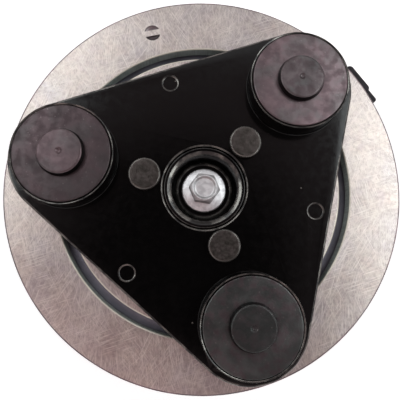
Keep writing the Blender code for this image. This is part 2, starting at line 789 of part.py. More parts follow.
def hub_plate(hub):
    """Pressed three-cornered plate with a cup drawn up round each damper."""
    outline = []
    for angle in damper_angles:
        spread = 180.0 / DAMPER_COUNT
        centre = polar(DAMPER_CIRCLE_RADIUS, angle)
        outline += arc(corner_radius, angle - spread, angle + spread, 12, centre)
    places = [polar(DAMPER_CIRCLE_RADIUS, angle) for angle in damper_angles]
    holes = [ring(SPIGOT_RADIUS + FIT_GAP, MEDIUM)]
    holes += [ring(cup_bore + CUP_ENTRY, MEDIUM, place) for place in places]
    for angle in damper_angles:
        holes.append(ring(RIVET_RADIUS + FIT_GAP, TINY, polar(RIVET_CIRCLE_RADIUS, angle)))
    plate = extruded("hub_plate", [outline] + holes, hub_rear, hub_front)
    root = hub_rear + HUB_PLATE_THICKNESS / 2
    shoulder = CUP_RADIUS + CUP_FILLET
    fillet = arc(CUP_FILLET, 180.0, 270.0, 2, (shoulder, hub_front + CUP_FILLET - FILLET_SINK))
    cups = turned("damper_cups", [(cap_seat_radius, cup_rim), (CUP_RADIUS, cup_rim)] + fillet + [
        (shoulder, root),
        (cup_bore, root),
        (cup_bore, cap_seat),
        (cap_seat_radius, cap_seat),
    ], MEDIUM, cutter=True)
    marks = drill("coin_marks", COIN_MARK_RADIUS, hub_front - COIN_MARK_DEPTH, hub_front + CUT_MARGIN, TINY)
    cut(plate, patterned(marks, [polar(COIN_MARK_CIRCLE, angle + 180.0) for angle in damper_angles]))
    join(plate, patterned(cups, places))
    finish(plate, BLACK_PAINT, hub)


def dampers(hub, armature):
    """Rubber ring in each cup, and the sleeve, cap and pin that tie it to the armature."""
    places = [polar(DAMPER_CIRCLE_RADIUS, angle) for angle in damper_angles]
    rubber_outer = cup_bore - FIT_GAP
    rubber_inner = sleeve_outer + FIT_GAP
    rubber_rear = hub_rear + RUBBER_INSET
    waist = (rubber_outer + rubber_inner) / 2
    rubber = turned("damper_rubber", [
        (rubber_outer, cap_seat),
        (rubber_outer, rubber_rear),
        (waist, rubber_rear + RUBBER_HOLLOW),
        (rubber_inner, rubber_rear),
        (rubber_inner, cap_seat),
        (waist, cap_seat - RUBBER_HOLLOW),
    ], SMALL)
    copies(rubber, places, RUBBER, hub)
    sleeve = turned("damper_sleeve", [
        (sleeve_outer, cap_rear - FIT_GAP),
        (sleeve_outer, armature_front + FIT_GAP),
        (sleeve_bore, armature_front + FIT_GAP),
        (sleeve_bore, cap_rear - FIT_GAP),
    ], TINY)
    copies(sleeve, places, PLATED_STEEL, armature)
    cap_radius = cap_seat_radius - FIT_GAP
    cap = turned("damper_cap", [
        (cap_radius - CAP_CHAMFER, cap_front),
        (cap_radius, cap_front - CAP_CHAMFER),
        (cap_radius, cap_rear),
        (sleeve_bore, cap_rear),
        (sleeve_bore, cap_front),
    ], MEDIUM)
    copies(cap, places, PHOSPHATE_STEEL, armature)
    head_front = pin_head_rear + PIN_HEAD_HEIGHT
    head_top = PIN_HEAD_RADIUS - PIN_HEAD_TAPER
    pin = turned("damper_pin", [
        (0.0, head_front - PIN_DIMPLE_DEPTH),
        (PIN_DIMPLE_RADIUS, head_front),
        (head_top - PIN_HEAD_CHAMFER, head_front),
        (head_top, head_front - PIN_HEAD_CHAMFER),
        (PIN_HEAD_RADIUS, pin_head_rear),
        (PIN_RADIUS, pin_head_rear),
        (PIN_RADIUS, armature_rear + PIN_FLARE),
        (PIN_RADIUS + PIN_FLARE - FIT_GAP, armature_rear + FIT_GAP),
        (0.0, armature_rear + FIT_GAP),
    ], SMALL, to_axis=True)
    copies(pin, places, PHOSPHATE_STEEL, armature)


def hub_boss(hub):
    """Splined boss on the shaft: a tube, a flange behind the plate and a spigot in its middle."""
    boss = turned("hub_boss", [
        (SPIGOT_RADIUS, hub_front - FLUSH),
        (SPIGOT_RADIUS, armature_front),
        (boss_flange_radius, armature_front),
        (boss_flange_radius, boss_flange_rear),
        (BOSS_TUBE_RADIUS, boss_flange_rear),
        (BOSS_TUBE_RADIUS, boss_rear),
        (SPLINE_RADIUS, boss_rear),
        (SPLINE_RADIUS, bore_top),
        (BOLT_RADIUS + FIT_GAP, bore_top),
        (BOLT_RADIUS + FIT_GAP, recess_floor),
        (RECESS_FLOOR_RADIUS, recess_floor),
        (RECESS_THROAT_RADIUS, hub_front - FLUSH - RECESS_BEVEL),
        (RECESS_MOUTH_RADIUS, hub_front - FLUSH),
    ], MEDIUM)
    star = []
    tooth = 360.0 / SPLINE_COUNT
    crest = SPLINE_RADIUS - SPLINE_DEPTH
    root = SPLINE_RADIUS + SPLINE_DEPTH
    for i in range(SPLINE_COUNT):
        start = tooth * i
        star += [polar(crest, start - tooth / 4), polar(root, start - tooth / 6)]
        star += [polar(root, start + tooth / 6), polar(crest, start + tooth / 4)]
    spline_top = bore_top - SHIM_THICKNESS - FIT_GAP
    cut(boss, extruded("hub_spline", [star], boss_rear - CUT_MARGIN, spline_top, cutter=True))
    places = [polar(RIVET_CIRCLE_RADIUS, angle) for angle in damper_angles]
    high = armature_front + CUT_MARGIN
    holes = flared_drill("rivet_holes", RIVET_RADIUS + FIT_GAP, RIVET_FLARE, boss_flange_rear, high, TINY)
    cut(boss, patterned(holes, places))
    finish(boss, BLACK_PAINT, hub)
    head_rear = hub_front + FIT_GAP
    head_front = hub_front + RIVET_HEAD_HEIGHT
    rivet = turned("hub_rivet", [
        (0.0, head_front),
        (RIVET_HEAD_RADIUS - RIVET_HEAD_ROUND, head_front),
        (RIVET_HEAD_RADIUS, head_front - RIVET_HEAD_ROUND),
        (RIVET_HEAD_RADIUS, head_rear),
        (RIVET_RADIUS, head_rear),
        (RIVET_RADIUS, boss_flange_rear + RIVET_FLARE),
        (RIVET_RADIUS + RIVET_FLARE - FIT_GAP, boss_flange_rear + FIT_GAP),
        (0.0, boss_flange_rear + FIT_GAP),
    ], TINY, to_axis=True)
    copies(rivet, places, DARK_RIVET, hub)
    shim_front = bore_top - FIT_GAP
    shim = turned("air_gap_shim", [
        (SPLINE_RADIUS - FIT_GAP, shim_front),
        (SPLINE_RADIUS - FIT_GAP, shim_front - SHIM_THICKNESS),
        (BOLT_RADIUS + FIT_GAP, shim_front - SHIM_THICKNESS),
        (BOLT_RADIUS + FIT_GAP, shim_front),
    ], SMALL)
    finish(shim, PLATED_STEEL, hub)


def shaft_bolt(hub):
    """Flange bolt in the hub's recess, with a dished and chamfered hexagon."""
    seat = recess_floor + FIT_GAP
    flange_front = seat + BOLT_FLANGE_HEIGHT
    hex_front = flange_front + BOLT_HEX_HEIGHT
    corner = BOLT_HEX_FLATS / 2 / math.cos(math.radians(30.0))
    bolt = turned("shaft_bolt", [
        (0.0, flange_front),
        (BOLT_HEX_FLATS / 2, flange_front),
        (BOLT_FLANGE_RADIUS, seat + BOLT_FLANGE_EDGE),
        (BOLT_FLANGE_RADIUS, seat),
        (BOLT_RADIUS, seat),
        (BOLT_RADIUS, seat - BOLT_LENGTH + BOLT_CHAMFER),
        (BOLT_RADIUS - BOLT_CHAMFER, seat - BOLT_LENGTH),
        (0.0, seat - BOLT_LENGTH),
    ], SMALL, to_axis=True)
    hexagon = turned("bolt_hexagon", [
        (0.0, hex_front - BOLT_DISH_DEPTH),
        (BOLT_DISH_RADIUS, hex_front - BOLT_DISH_DEPTH),
        (BOLT_DISH_RADIUS, hex_front),
        (corner - BOLT_CHAMFER, hex_front),
        (corner, hex_front - BOLT_CHAMFER),
        (corner, seat + BOLT_FLANGE_HEIGHT / 2),
        (0.0, seat + BOLT_FLANGE_HEIGHT / 2),
    ], 6, cutter=True, to_axis=True)
    join(bolt, hexagon)
    finish(bolt, BOLT_STEEL, hub)
    bolt.rotation_euler.z = math.radians(BOLT_HEX_TURN)


def build():
    fixed = axis_empty("coil_axis")
    pulley = axis_empty("pulley_axis")
    train = axis_empty("ball_train_axis")
    hub = axis_empty("hub_axis")
    armature = axis_empty("armature_axis")
    armature.parent = hub
    mounting_plate(fixed)
    coil(fixed)
    connector(fixed)
    bearing(fixed, pulley, train)
    rotor(pulley)
    pulley_rim(pulley)
    armature_plate(armature)
    hub_plate(hub)
    dampers(hub, armature)
    hub_boss(hub)
    shaft_bolt(hub)


build()
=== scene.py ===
"""Looks of the electromagnetic clutch: fine meshes, materials, studio light and the photograph's camera.

Lengths are in metres. Pieces take their places from the solids, and each one rides on the body of the
solid that it stands for. Angles in the photograph's plane are counted from its right-hand side.
"""

import json
import math

import bmesh
import bpy
from mathutils import Matrix, Vector


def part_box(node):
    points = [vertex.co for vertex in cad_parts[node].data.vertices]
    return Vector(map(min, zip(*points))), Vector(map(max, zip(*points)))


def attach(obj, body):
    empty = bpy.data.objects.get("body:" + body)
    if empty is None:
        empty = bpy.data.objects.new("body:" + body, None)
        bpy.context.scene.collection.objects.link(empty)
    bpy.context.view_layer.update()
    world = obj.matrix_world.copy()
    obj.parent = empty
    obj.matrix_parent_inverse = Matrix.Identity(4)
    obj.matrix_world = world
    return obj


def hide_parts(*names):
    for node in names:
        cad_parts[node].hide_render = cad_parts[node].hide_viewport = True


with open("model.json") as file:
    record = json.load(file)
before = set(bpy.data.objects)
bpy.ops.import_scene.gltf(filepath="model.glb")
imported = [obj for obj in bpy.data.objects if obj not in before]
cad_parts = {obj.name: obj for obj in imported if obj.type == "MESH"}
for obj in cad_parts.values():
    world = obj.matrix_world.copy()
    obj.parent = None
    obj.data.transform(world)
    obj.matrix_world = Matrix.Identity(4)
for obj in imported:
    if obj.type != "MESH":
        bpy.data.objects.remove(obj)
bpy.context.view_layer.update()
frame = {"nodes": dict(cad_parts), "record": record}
RECORD = frame["record"]
BODY_OF = {node: body for body, nodes in RECORD["behaviour"]["bodies"].items() for node in nodes}
SLOT_OF = {part["node"]: part["material_slot"] for part in RECORD["subparts"]}
DAMPERS = (1, 2, 3)
THIRD = 120.0

# Photograph and camera
PHOTO_WIDTH = 405
SENSOR_WIDTH = 36.0
FOCAL_PIXELS = 474.8
CAMERA_TILT_X = -7.23
CAMERA_TILT_Y = 1.99
CAMERA_OFFSET = (0.0005, 0.0032, -0.1435)
CAMERA_CLIP = (0.01, 20.0)
PHOTO_TURN = 11.87

# Facets round a full turn, and steps along arcs and bends
DISC_ROUND = 256
ROUND = 192
SMALL_ROUND = 96
HOLE_ROUND = 40
PIT_ROUND = 32
SLOT_STEPS = 48
PLATE_CORNER_STEPS = 40
ROTOR_SLOT_STEPS = 24
TRACK_STEPS = 16
SLOT_END_STEPS = 12
CORNER_STEPS = 8
BEND_STEPS = 4
BEND_SHARE = 0.49

# The clearance that the solids keep, and limits of cutting, welding and rounding, with angles in degrees
GAP = 0.0003
CUT_MARGIN = 0.001
WELD = 0.000002
COPLANAR = 1.0
BEVEL_ANGLE = 30.0
BEVEL_SEGMENTS = 3
SHARP_FINE = 40.0
SHARP_SOLID = 32.0

# How far a normal points forward: sides have less than their limit, flat faces have more than theirs
SIDE_RISE = 0.3
FLAT_RISE = 0.97
HEAD_SIDE_RISE = 0.6
HEX_SIDE_RISE = 0.2

# Armature
ARMATURE_EDGE = 0.0005
SLOT_RADIUS = 0.04285
SLOT_WIDTH = 0.003
SLOT_MARGIN = 0.0125
PUNCH_RADIUS = 0.0522
PUNCH_ANGLE = 120.0
PUNCH_LEAN = 24.0
PUNCH_SIZE = (0.0025, 0.0025, 0.0007)
PUNCH_BAR = 0.0018
PUNCH_REACH = 0.0028

# Hub plate
PLATE_THICKNESS = 0.0037
PLATE_EDGE = 0.0006
CORNER_RADIUS = 0.0175
CUP_RADIUS = 0.0145
CUP_BORE = 0.0134
CUP_ENTRY = 0.0005
CUP_FILLET = 0.0012
CUP_SINK = 0.00006
CAP_SEAT_DROP = 0.0008
RIM_ROUND = 0.00015
RIM_BEVEL = (0.00032, 0.00016)
SPIGOT_HOLE = 0.0123
RIVET_HOLE = 0.0029
COIN_MARK_CIRCLE = 0.0334
COIN_MARK_RADIUS = 0.0021
COIN_MARK_DEPTH = 0.0004
COIN_MARK_BEVEL = (0.0005, 0.00025)

# Pins, caps and rivets
CAP_ROUND = 0.0004
HEAD_HEIGHT = 0.002
HEAD_TAPER = 0.0006
HEAD_ROUND = 0.0005
PIN_SHANK = 0.0035
PIN_HOLE = 0.0038
PIN_FLARE = 0.0013
DIMPLE_RADIUS = 0.0009
DIMPLE_DEPTH = 0.0004
RIVET_HEAD_HEIGHT = 0.0019
RIVET_HEAD_ROUND = 0.001
RIVET_CROWN = 0.00005
RIVET_SHANK = 0.0026
RIVET_FLARE = 0.0012

# Boss and bolt
BOSS_TUBE = 0.011
BOSS_ROUND = 0.0004
SPIGOT = 0.012
RECESS_DEPTH = 0.0068
RECESS_FLOOR = 0.0084
RECESS_THROAT = 0.0099
RECESS_MOUTH = 0.0112
RECESS_BEVEL = 0.0005
SEAT_WEB = 0.0028
SPLINE_RADIUS = 0.0059
SPLINE_DEPTH = 0.0007
SPLINE_COUNT = 14
BOLT_SHANK = 0.00295
BOLT_CHAMFER = 0.0006
BOLT_FLANGE_HEIGHT = 0.0014
BOLT_FLANGE_EDGE = 0.0009
BOLT_HEX_FLATS = 0.008
BOLT_HEX_TURN = 4.4
BOLT_LENGTH = 0.012
DISH_RADIUS = 0.0028
DISH_RIM = 0.0033
DISH_DEPTH = 0.0003
CROWN_DROP = 0.0007

# Pulley, rotor and bearing
GROOVE_PITCH = 0.00356
GROOVE_DEPTH = 0.00275
GROOVE_FLOOR = 0.0009
GROOVE_FLANK = 20.0
RIM_FLANGE = 0.0012
RIM_LIP = 0.0016
RIM_EDGE = 0.0004
RIB_ROUND = 0.0003
ROTOR_DISC = 0.005
ROTOR_CUP_WALL = 0.0028
ROTOR_HUB_WALL = 0.0028
ROTOR_LIP = 0.0033
ROTOR_CUP_REAR = 0.0067
ROTOR_EDGE = 0.0004
ROTOR_CORNER = 0.001
ROTOR_SLOTS = 6
ROTOR_SLOT_WIDTH = 0.002
ROTOR_SLOT_BRIDGE = 12.0
ROTOR_SLOT_INSETS = (0.006, 0.0022)
BEARING_SHOULDER = 0.0021
SHOULDER_ROUND = 0.0006
SEAL_BEAD = 0.0006
SEAL_GROOVE = 0.0004
SEAL_ROUND = 0.0003
CLIP_EDGE = 0.0002

# Coil, mounting plate and connector
COIL_WALL = 0.0018
COIL_REAR_WALL = 0.0022
COIL_EDGE = 0.0004
COIL_CORNER = 0.0009
MOUNT_THICKNESS = 0.0025
MOUNT_EDGE = 0.0004
COLLAR_WALL = 0.0025
SCREW_RADIUS = 0.0027
SCREW_COUNT = 3
TONGUE_WIDTH = 0.009
TONGUE_REACH = 0.0024
CONNECTOR_WALL = 0.0011
CONNECTOR_CORNER = 0.0016
CONNECTOR_EDGE = 0.0005
LATCH_HEIGHT = 0.009
LATCH_SETBACK = 0.0003
SOCKET_DEPTH = 0.0112
LEAD_COVER_EDGE = 0.0004

# Scratches of the ground disc: directions, length and width in mm, and the noise at which they show
FINE_SCRATCHES = ((58.0, 71.0, 40.0, 112.0, 96.0, 150.0, 82.0), 6.0, 0.22, (0.50, 0.72))
LONG_SCRATCHES = ((64.0, 128.0, 104.0, 52.0), 24.0, 0.20, (0.64, 0.76))
SCRATCH_SHIFT = 13.7
PATCH_SHIFT = 31.0
PATCH_SCALE = 0.07
PATCH_EDGE = (0.42, 0.60)

# Tints of the ground disc
DISC_WARM = (0.560, 0.475, 0.435)
DISC_COOL = (0.485, 0.440, 0.450)
DISC_MOTTLE = (0.440, 0.378, 0.385)
DISC_STRAW = (0.590, 0.555, 0.485)
DISC_GRAIN = (0.30, 0.25, 0.24)
DISC_SCRATCH = (0.95, 0.89, 0.83)

# Coats of the caps and pins: how light, how blotched and how grey. How light each part is, is painted
# light and shade that differs from part to part
COAT_LIGHT = (0.112, 0.083, 0.089)
COAT_GREY = (0.070, 0.080, 0.077)
COAT_DARK = (0.060, 0.044, 0.048)
CAP_LIGHT_AND_SHADE = ((1.88, 0.5, 0.0), (0.86, 0.4, 0.0), (1.38, 0.8, 0.9))
PIN_LIGHT_AND_SHADE = ((1.45, 0.65, 0.4), (1.4, 0.4, 0.0), (0.97, 0.6, 0.95))

# Studio. The floor's sweep is given from FLOOR_RADIUS, a soft box by its name, its direction in the
# photograph, its tilt from straight above, its size, radiance and colour.
SOFTBOX_DISTANCE = 0.45
FLOOR_RADIUS = 2.6
FLOOR_SWEEP = ((-0.6, -0.0001), (-0.2, 0.1), (0.0, 0.4), (0.05, 1.3))
FLOOR_FACETS = 48
FLOOR_GLOW = 0.7
FLOOR_COLOUR = (0.86, 0.86, 0.86)
LAMP_COLOUR = (0.92, 1.0, 1.01)
FILL_COLOUR = (1.0, 0.72, 0.70)
SOFTBOXES = (
    ("softbox_left", 146.0, 34.5, (0.34, 0.11), 2.85, LAMP_COLOUR),
    ("softbox_right", 14.0, 34.5, (0.35, 0.11), 3.75, LAMP_COLOUR),
    ("softbox_top", 92.0, 36.0, (0.38, 0.12), 0.65, LAMP_COLOUR),
    ("softbox_fill", 232.0, 31.0, (0.42, 0.20), 0.45, FILL_COLOUR),
)
AMBIENT = (0.37, 0.293, 0.304)
CEILING_EDGE = (8.0, 20.0)
CEILING_LEVEL = 0.1
WALL_EDGE = (34.0, 52.0)
WALL_LEVEL = 0.5


def rear(node):
    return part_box(node)[0].z


def front(node):
    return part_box(node)[1].z


def reach(node):
    """Outer radius of a piece that is centred on the turning axis."""
    return max(math.hypot(v.co.x, v.co.y) for v in frame["nodes"][node].data.vertices)


def bore(node):
    """Inner radius of a piece that is centred on the turning axis."""
    return min(math.hypot(v.co.x, v.co.y) for v in frame["nodes"][node].data.vertices)


def centre(node):
    low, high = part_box(node)
    return (low.x + high.x) / 2, (low.y + high.y) / 2


def half_width(node):
    low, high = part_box(node)
    return (high.x - low.x) / 2


def bearing_of(node):
    """Angle of a piece about the turning axis."""
    x, y = centre(node)
    return math.degrees(math.atan2(y, x))


def local_box(node, angle):
    """Lowest and highest corner of a solid, along axes turned by an angle."""
    turn = Matrix.Rotation(math.radians(-angle), 3, "Z")
    points = [turn @ v.co for v in frame["nodes"][node].data.vertices]
    return [Vector([pick(p[i] for p in points) for i in range(3)]) for pick in (min, max)]


def polar(radius, angle):
    return radius * math.cos(math.radians(angle)), radius * math.sin(math.radians(angle))


def arc(radius, start, end, steps, middle=(0.0, 0.0)):
    points = [polar(radius, start + (end - start) * i / steps) for i in range(steps + 1)]
    return [(middle[0] + x, middle[1] + y) for x, y in points]


def ring(radius, steps, middle=(0.0, 0.0)):
    return arc(radius, 0.0, 360.0, steps, middle)[:-1]


def arc_slot(radius, width, start, end, steps):
    """Outline of a curved slot with round ends."""
    half = width / 2
    outline = arc(radius + half, start, end, steps)
    outline += arc(half, end, end + 180.0, SLOT_END_STEPS, polar(radius, end))[1:-1]
    outline += arc(radius - half, end, start, steps)
    outline += arc(half, start + 180.0, start + 360.0, SLOT_END_STEPS, polar(radius, start))[1:-1]
    return outline


def round_rectangle(low, high, radius):
    """Outline of a rectangle between two corners, with round corners."""
    left, right = low[0] + radius, high[0] - radius
    near, far = low[1] + radius, high[1] - radius
    outline = []
    for turn, corner in enumerate([(right, far), (left, far), (left, near), (right, near)]):
        outline += arc(radius, 90.0 * turn, 90.0 * (turn + 1), CORNER_STEPS, corner)
    return outline


def turned_outline(outline, angle):
    """An outline turned about the turning axis."""
    cos = math.cos(math.radians(angle))
    sin = math.sin(math.radians(angle))
    return [(x * cos - y * sin, x * sin + y * cos) for x, y in outline]


def add_object(name, data):
    obj = bpy.data.objects.new(name, data)
    bpy.context.scene.collection.objects.link(obj)
    return obj


def from_bmesh(name, cage):
    mesh = bpy.data.meshes.new(name)
    bmesh.ops.recalc_face_normals(cage, faces=cage.faces)
    cage.to_mesh(mesh)
    cage.free()
    return add_object(name, mesh)


def welded(mesh):
    """An editable copy of a mesh, with the corners joined that lie on each other."""
    cage = bmesh.new()
    cage.from_mesh(mesh)
    bmesh.ops.remove_doubles(cage, verts=cage.verts, dist=WELD)
    return cage


def rounded(corners, closed):
    """Profile points with a smooth bend at each corner that has a third number, its rounding."""
    points = []
    count = len(corners)
    for i, corner in enumerate(corners):
        here = Vector(corner[:2])
        size = corner[2] if len(corner) > 2 else 0.0
        if not size or (not closed and i in (0, count - 1)):
            points.append(here)
            continue
        before = Vector(corners[i - 1][:2])
        after = Vector(corners[(i + 1) % count][:2])
        start = here + (before - here).normalized() * min(size, (before - here).length * BEND_SHARE)
        end = here + (after - here).normalized() * min(size, (after - here).length * BEND_SHARE)
        for step in range(BEND_STEPS + 1):
            t = step / BEND_STEPS
            points.append(start * (1 - t) ** 2 + here * 2 * t * (1 - t) + end * t ** 2)
    return points


def lathe(name, corners, facets, middle=(0.0, 0.0), solid=False):
    """A turned mesh. Its profile runs down the outer side, and a solid one starts and ends on the axis."""
    points = rounded(corners, not solid)
    cage = bmesh.new()
    rows = []
    for radius, height in points:
        if radius < WELD:
            rows.append([cage.verts.new((*middle, height))] * facets)
            continue
        rows.append([cage.verts.new((x, y, height)) for x, y in ring(radius, facets, middle)])
    pairs = list(zip(rows, rows[1:]))
    if not solid:
        pairs.append((rows[-1], rows[0]))
    for upper, lower in pairs:
        for i in range(facets):
            j = (i + 1) % facets
            loop = []
            for vert in (upper[i], lower[i], lower[j], upper[j]):
                if vert not in loop:
                    loop.append(vert)
            cage.faces.new(loop)
    return from_bmesh(name, cage)


def plate(name, outers, holes, low, high, edge=0.0):
    """Flat outlines with their holes, with every edge rounded."""
    curve = bpy.data.curves.new(name, "CURVE")
    curve.dimensions = "2D"
    curve.fill_mode = "BOTH"
    curve.extrude = (high - low) / 2 - edge
    curve.bevel_depth = edge
    curve.bevel_resolution = 2
    curve.offset = -edge
    for outline in outers + [hole[::-1] for hole in holes]:
        spline = curve.splines.new("POLY")
        spline.points.add(len(outline) - 1)
        for point, (x, y) in zip(spline.points, outline):
            point.co = (x, y, 0.0, 1.0)
        spline.use_cyclic_u = True
    guide = add_object(name + "_guide", curve)
    guide.location.z = (low + high) / 2
    bpy.context.view_layer.update()
    mesh = bpy.data.meshes.new_from_object(guide.evaluated_get(bpy.context.evaluated_depsgraph_get()))
    mesh.transform(guide.matrix_world)
    bpy.data.objects.remove(guide)
    bpy.data.curves.remove(curve)
    cage = welded(mesh)
    bpy.data.meshes.remove(mesh)
    return from_bmesh(name, cage)


def settle(obj):
    """Applies an object's modifiers to its mesh."""
    bpy.context.view_layer.update()
    mesh = bpy.data.meshes.new_from_object(obj.evaluated_get(bpy.context.evaluated_depsgraph_get()))
    obj.modifiers.clear()
    obj.data = mesh
    return obj


def combine(obj, other, operation):
    """Cuts one mesh by another, or joins them, and removes the other."""
    boolean = obj.modifiers.new(operation, "BOOLEAN")
    boolean.operation = operation
    boolean.solver = "EXACT"
    boolean.object = other
    settle(obj)
    bpy.data.objects.remove(other)
    cage = welded(obj.data)
    bmesh.ops.dissolve_degenerate(cage, dist=WELD, edges=cage.edges)
    cage.to_mesh(obj.data)
    cage.free()
    return obj


def rounded_copy(node, width):
    """A copy of a flat-sided solid with its coplanar faces joined and its edges rounded."""
    obj = add_object(node, frame["nodes"][node].data.copy())
    cage = welded(obj.data)
    bmesh.ops.dissolve_limit(cage, angle_limit=math.radians(COPLANAR), verts=cage.verts, edges=cage.edges)
    cage.to_mesh(obj.data)
    cage.free()
    bevel = obj.modifiers.new("Edges", "BEVEL")
    bevel.width = width
    bevel.segments = BEVEL_SEGMENTS
    bevel.limit_method = "ANGLE"
    bevel.angle_limit = math.radians(BEVEL_ANGLE)
    return settle(obj)


def flared_holes(body, places, radius, flare, low, high):
    """Drills holes that open out towards their rear end, as riveted ends need."""
    for place in places:
        hole = lathe("hole", [
            (0.0, high + CUT_MARGIN),
            (radius, high + CUT_MARGIN),
            (radius, low + flare),
            (radius + flare + CUT_MARGIN, low - CUT_MARGIN),
            (0.0, low - CUT_MARGIN),
        ], HOLE_ROUND, place, solid=True)
        combine(body, hole, "DIFFERENCE")


def stand_in(obj, node, look):
    """Smooths a fine piece, gives it its material and puts it in a solid's place."""
    obj.name = node + "_fine"
    obj.data.name = obj.name
    obj.data.materials.clear()
    obj.data.materials.append(look)
    obj.data.shade_smooth()
    obj.data.set_sharp_from_angle(angle=math.radians(SHARP_FINE))
    weighted = obj.modifiers.new("Flat faces", "WEIGHTED_NORMAL")
    weighted.keep_sharp = True
    settle(obj)
    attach(obj, BODY_OF[node])
    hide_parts(node)


def repaint(obj, look, chosen):
    """Gives the chosen faces of a fine piece a material of their own."""
    obj.data.materials.append(look)
    index = len(obj.data.materials) - 1
    for face in obj.data.polygons:
        if chosen(face):
            face.material_index = index


def on_edge(face):
    """Whether a face belongs to a rounded edge that looks forward."""
    return SIDE_RISE < face.normal.z < FLAT_RISE


class Nodes:
    """A node tree, and short ways to add nodes and to feed their sockets with links or values."""

    def __init__(self, tree):
        self.tree = tree

    def add(self, kind, settings=None, **inputs):
        node = self.tree.nodes.new(kind)
        for key, value in (settings or {}).items():
            setattr(node, key, value)
        for key, value in inputs.items():
            self.feed(node.inputs[key.replace("_", " ")], value)
        return node

    def feed(self, socket, value):
        if isinstance(value, bpy.types.NodeSocket):
            self.tree.links.new(value, socket)
        else:
            socket.default_value = value

    def ramp(self, value, low, high, to_low=0.0, to_high=1.0):
        smooth = {"interpolation_type": "SMOOTHSTEP"}
        limits = {"From_Min": low, "From_Max": high, "To_Min": to_low, "To_Max": to_high}
        return self.add("ShaderNodeMapRange", smooth, Value=value, **limits).outputs["Result"]

    def math(self, operation, first, second):
        node = self.add("ShaderNodeMath", {"operation": operation})
        self.feed(node.inputs[0], first)
        self.feed(node.inputs[1], second)
        return node.outputs["Value"]


class Look(Nodes):
    """A Principled material and the texture nodes that feed it, with coordinates in millimetres."""

    def __init__(self, name, metallic, specular=0.5):
        self.material = bpy.data.materials.new(name)
        self.material.use_nodes = True
        super().__init__(self.material.node_tree)
        self.shader = self.tree.nodes["Principled BSDF"]
        self.shader.inputs["Metallic"].default_value = metallic
        self.shader.inputs["Specular IOR Level"].default_value = specular
        place = self.add("ShaderNodeTexCoord")
        self.mm = self.mapped(place.outputs["Object"], (1000.0, 1000.0, 1000.0))

    def mapped(self, vector, scale, turn=0.0, shift=0.0):
        node = self.add("ShaderNodeMapping", Vector=vector, Scale=scale)
        node.inputs["Rotation"].default_value[2] = math.radians(turn)
        node.inputs["Location"].default_value = (shift, shift * 0.7, shift * 0.3)
        return node.outputs["Vector"]

    def noise(self, scale, detail, vector=None, shift=0.0, distortion=0.0):
        vector = vector or self.mm
        if shift:
            vector = self.mapped(vector, (1.0, 1.0, 1.0), shift=shift)
        node = self.add("ShaderNodeTexNoise", Vector=vector, Scale=scale, Detail=detail)
        node.inputs["Distortion"].default_value = distortion
        return node.outputs["Fac"]

    def mix(self, factor, first, second, blend="MIX"):
        node = self.add("ShaderNodeMix", {"data_type": "RGBA", "blend_type": blend})
        self.feed(node.inputs[0], factor)
        for socket, value in ((node.inputs[6], first), (node.inputs[7], second)):
            self.feed(socket, value if isinstance(value, bpy.types.NodeSocket) else (*value, 1.0))
        return node.outputs[2]

    def finish(self, colour, roughness, height, depth, strength):
        """Links colour, roughness and a bump whose depth is in metres, and gives the material."""
        bump = self.add("ShaderNodeBump", Height=height, Distance=depth, Strength=strength)
        self.feed(self.shader.inputs["Base Color"], colour)
        self.feed(self.shader.inputs["Roughness"], roughness)
        self.feed(self.shader.inputs["Normal"], bump.outputs["Normal"])
        return self.material


def scratches(look, turns, length, width, levels):
    """Fine straight scratches in several directions, each in its own patches."""
    total = None
    for i, turn in enumerate(turns):
        turned = look.mapped(look.mm, (1.0, 1.0, 1.0), turn, SCRATCH_SHIFT * (i + 1))
        streak = look.mapped(turned, (1.0 / length, 1.0 / width, 1.0))
        lines = look.ramp(look.noise(1.0, 1.0, streak), *levels)
        patch = look.ramp(look.noise(PATCH_SCALE, 1.0, shift=PATCH_SHIFT * (i + 1)), *PATCH_EDGE)
        lines = look.math("MULTIPLY", lines, patch)
        total = look.math("MAXIMUM", lines, total) if total else lines
    return total


def ground_steel():
    """Ground disc steel, mottled and scratched in every direction."""
    look = Look("ground_steel", 1.0)
    fine = scratches(look, *FINE_SCRATCHES)
    long = scratches(look, *LONG_SCRATCHES)
    marks = look.math("MAXIMUM", look.math("MULTIPLY", fine, 0.75), long)
    grain = look.noise(1.1, 5.0)
    tint = look.ramp(look.noise(0.4, 4.0, shift=41.0), 0.38, 0.62)
    mottle = look.ramp(look.noise(0.28, 4.0, shift=7.0, distortion=0.5), 0.36, 0.66)
    cloud = look.ramp(look.noise(0.05, 5.0, distortion=0.6), 0.40, 0.62)
    colour = look.mix(cloud, DISC_WARM, DISC_COOL)
    colour = look.mix(look.math("MULTIPLY", mottle, 0.55), colour, DISC_MOTTLE)
    colour = look.mix(look.math("MULTIPLY", tint, 0.35), colour, DISC_STRAW)
    colour = look.mix(look.ramp(grain, 0.38, 0.68, 0.0, 0.5), colour, DISC_GRAIN)
    colour = look.mix(look.math("MULTIPLY", marks, 0.7), colour, DISC_SCRATCH)
    rough = look.ramp(grain, 0.3, 0.7, 0.31, 0.34)
    rough = look.math("ADD", rough, look.math("MULTIPLY", marks, 0.14))
    height = look.math("ADD", look.math("MULTIPLY", grain, 0.3), marks)
    return look.finish(colour, rough, height, depth=0.00004, strength=0.16)


def punched_steel():
    """Sheared walls of the armature's slots: dull, olive grey, with fine upright drag lines."""
    look = Look("punched_steel", 0.3)
    tone = look.ramp(look.noise(0.3, 4.0), 0.35, 0.68)
    drag = look.noise(1.0, 2.0, look.mapped(look.mm, (2.2, 2.2, 0.15)))
    colour = look.mix(tone, (0.520, 0.585, 0.545), (0.410, 0.465, 0.430))
    colour = look.mix(look.ramp(drag, 0.4, 0.7, 0.0, 0.4), colour, (0.27, 0.27, 0.25))
    return look.finish(colour, look.ramp(drag, 0.3, 0.7, 0.42, 0.58), drag, depth=0.00004, strength=0.6)


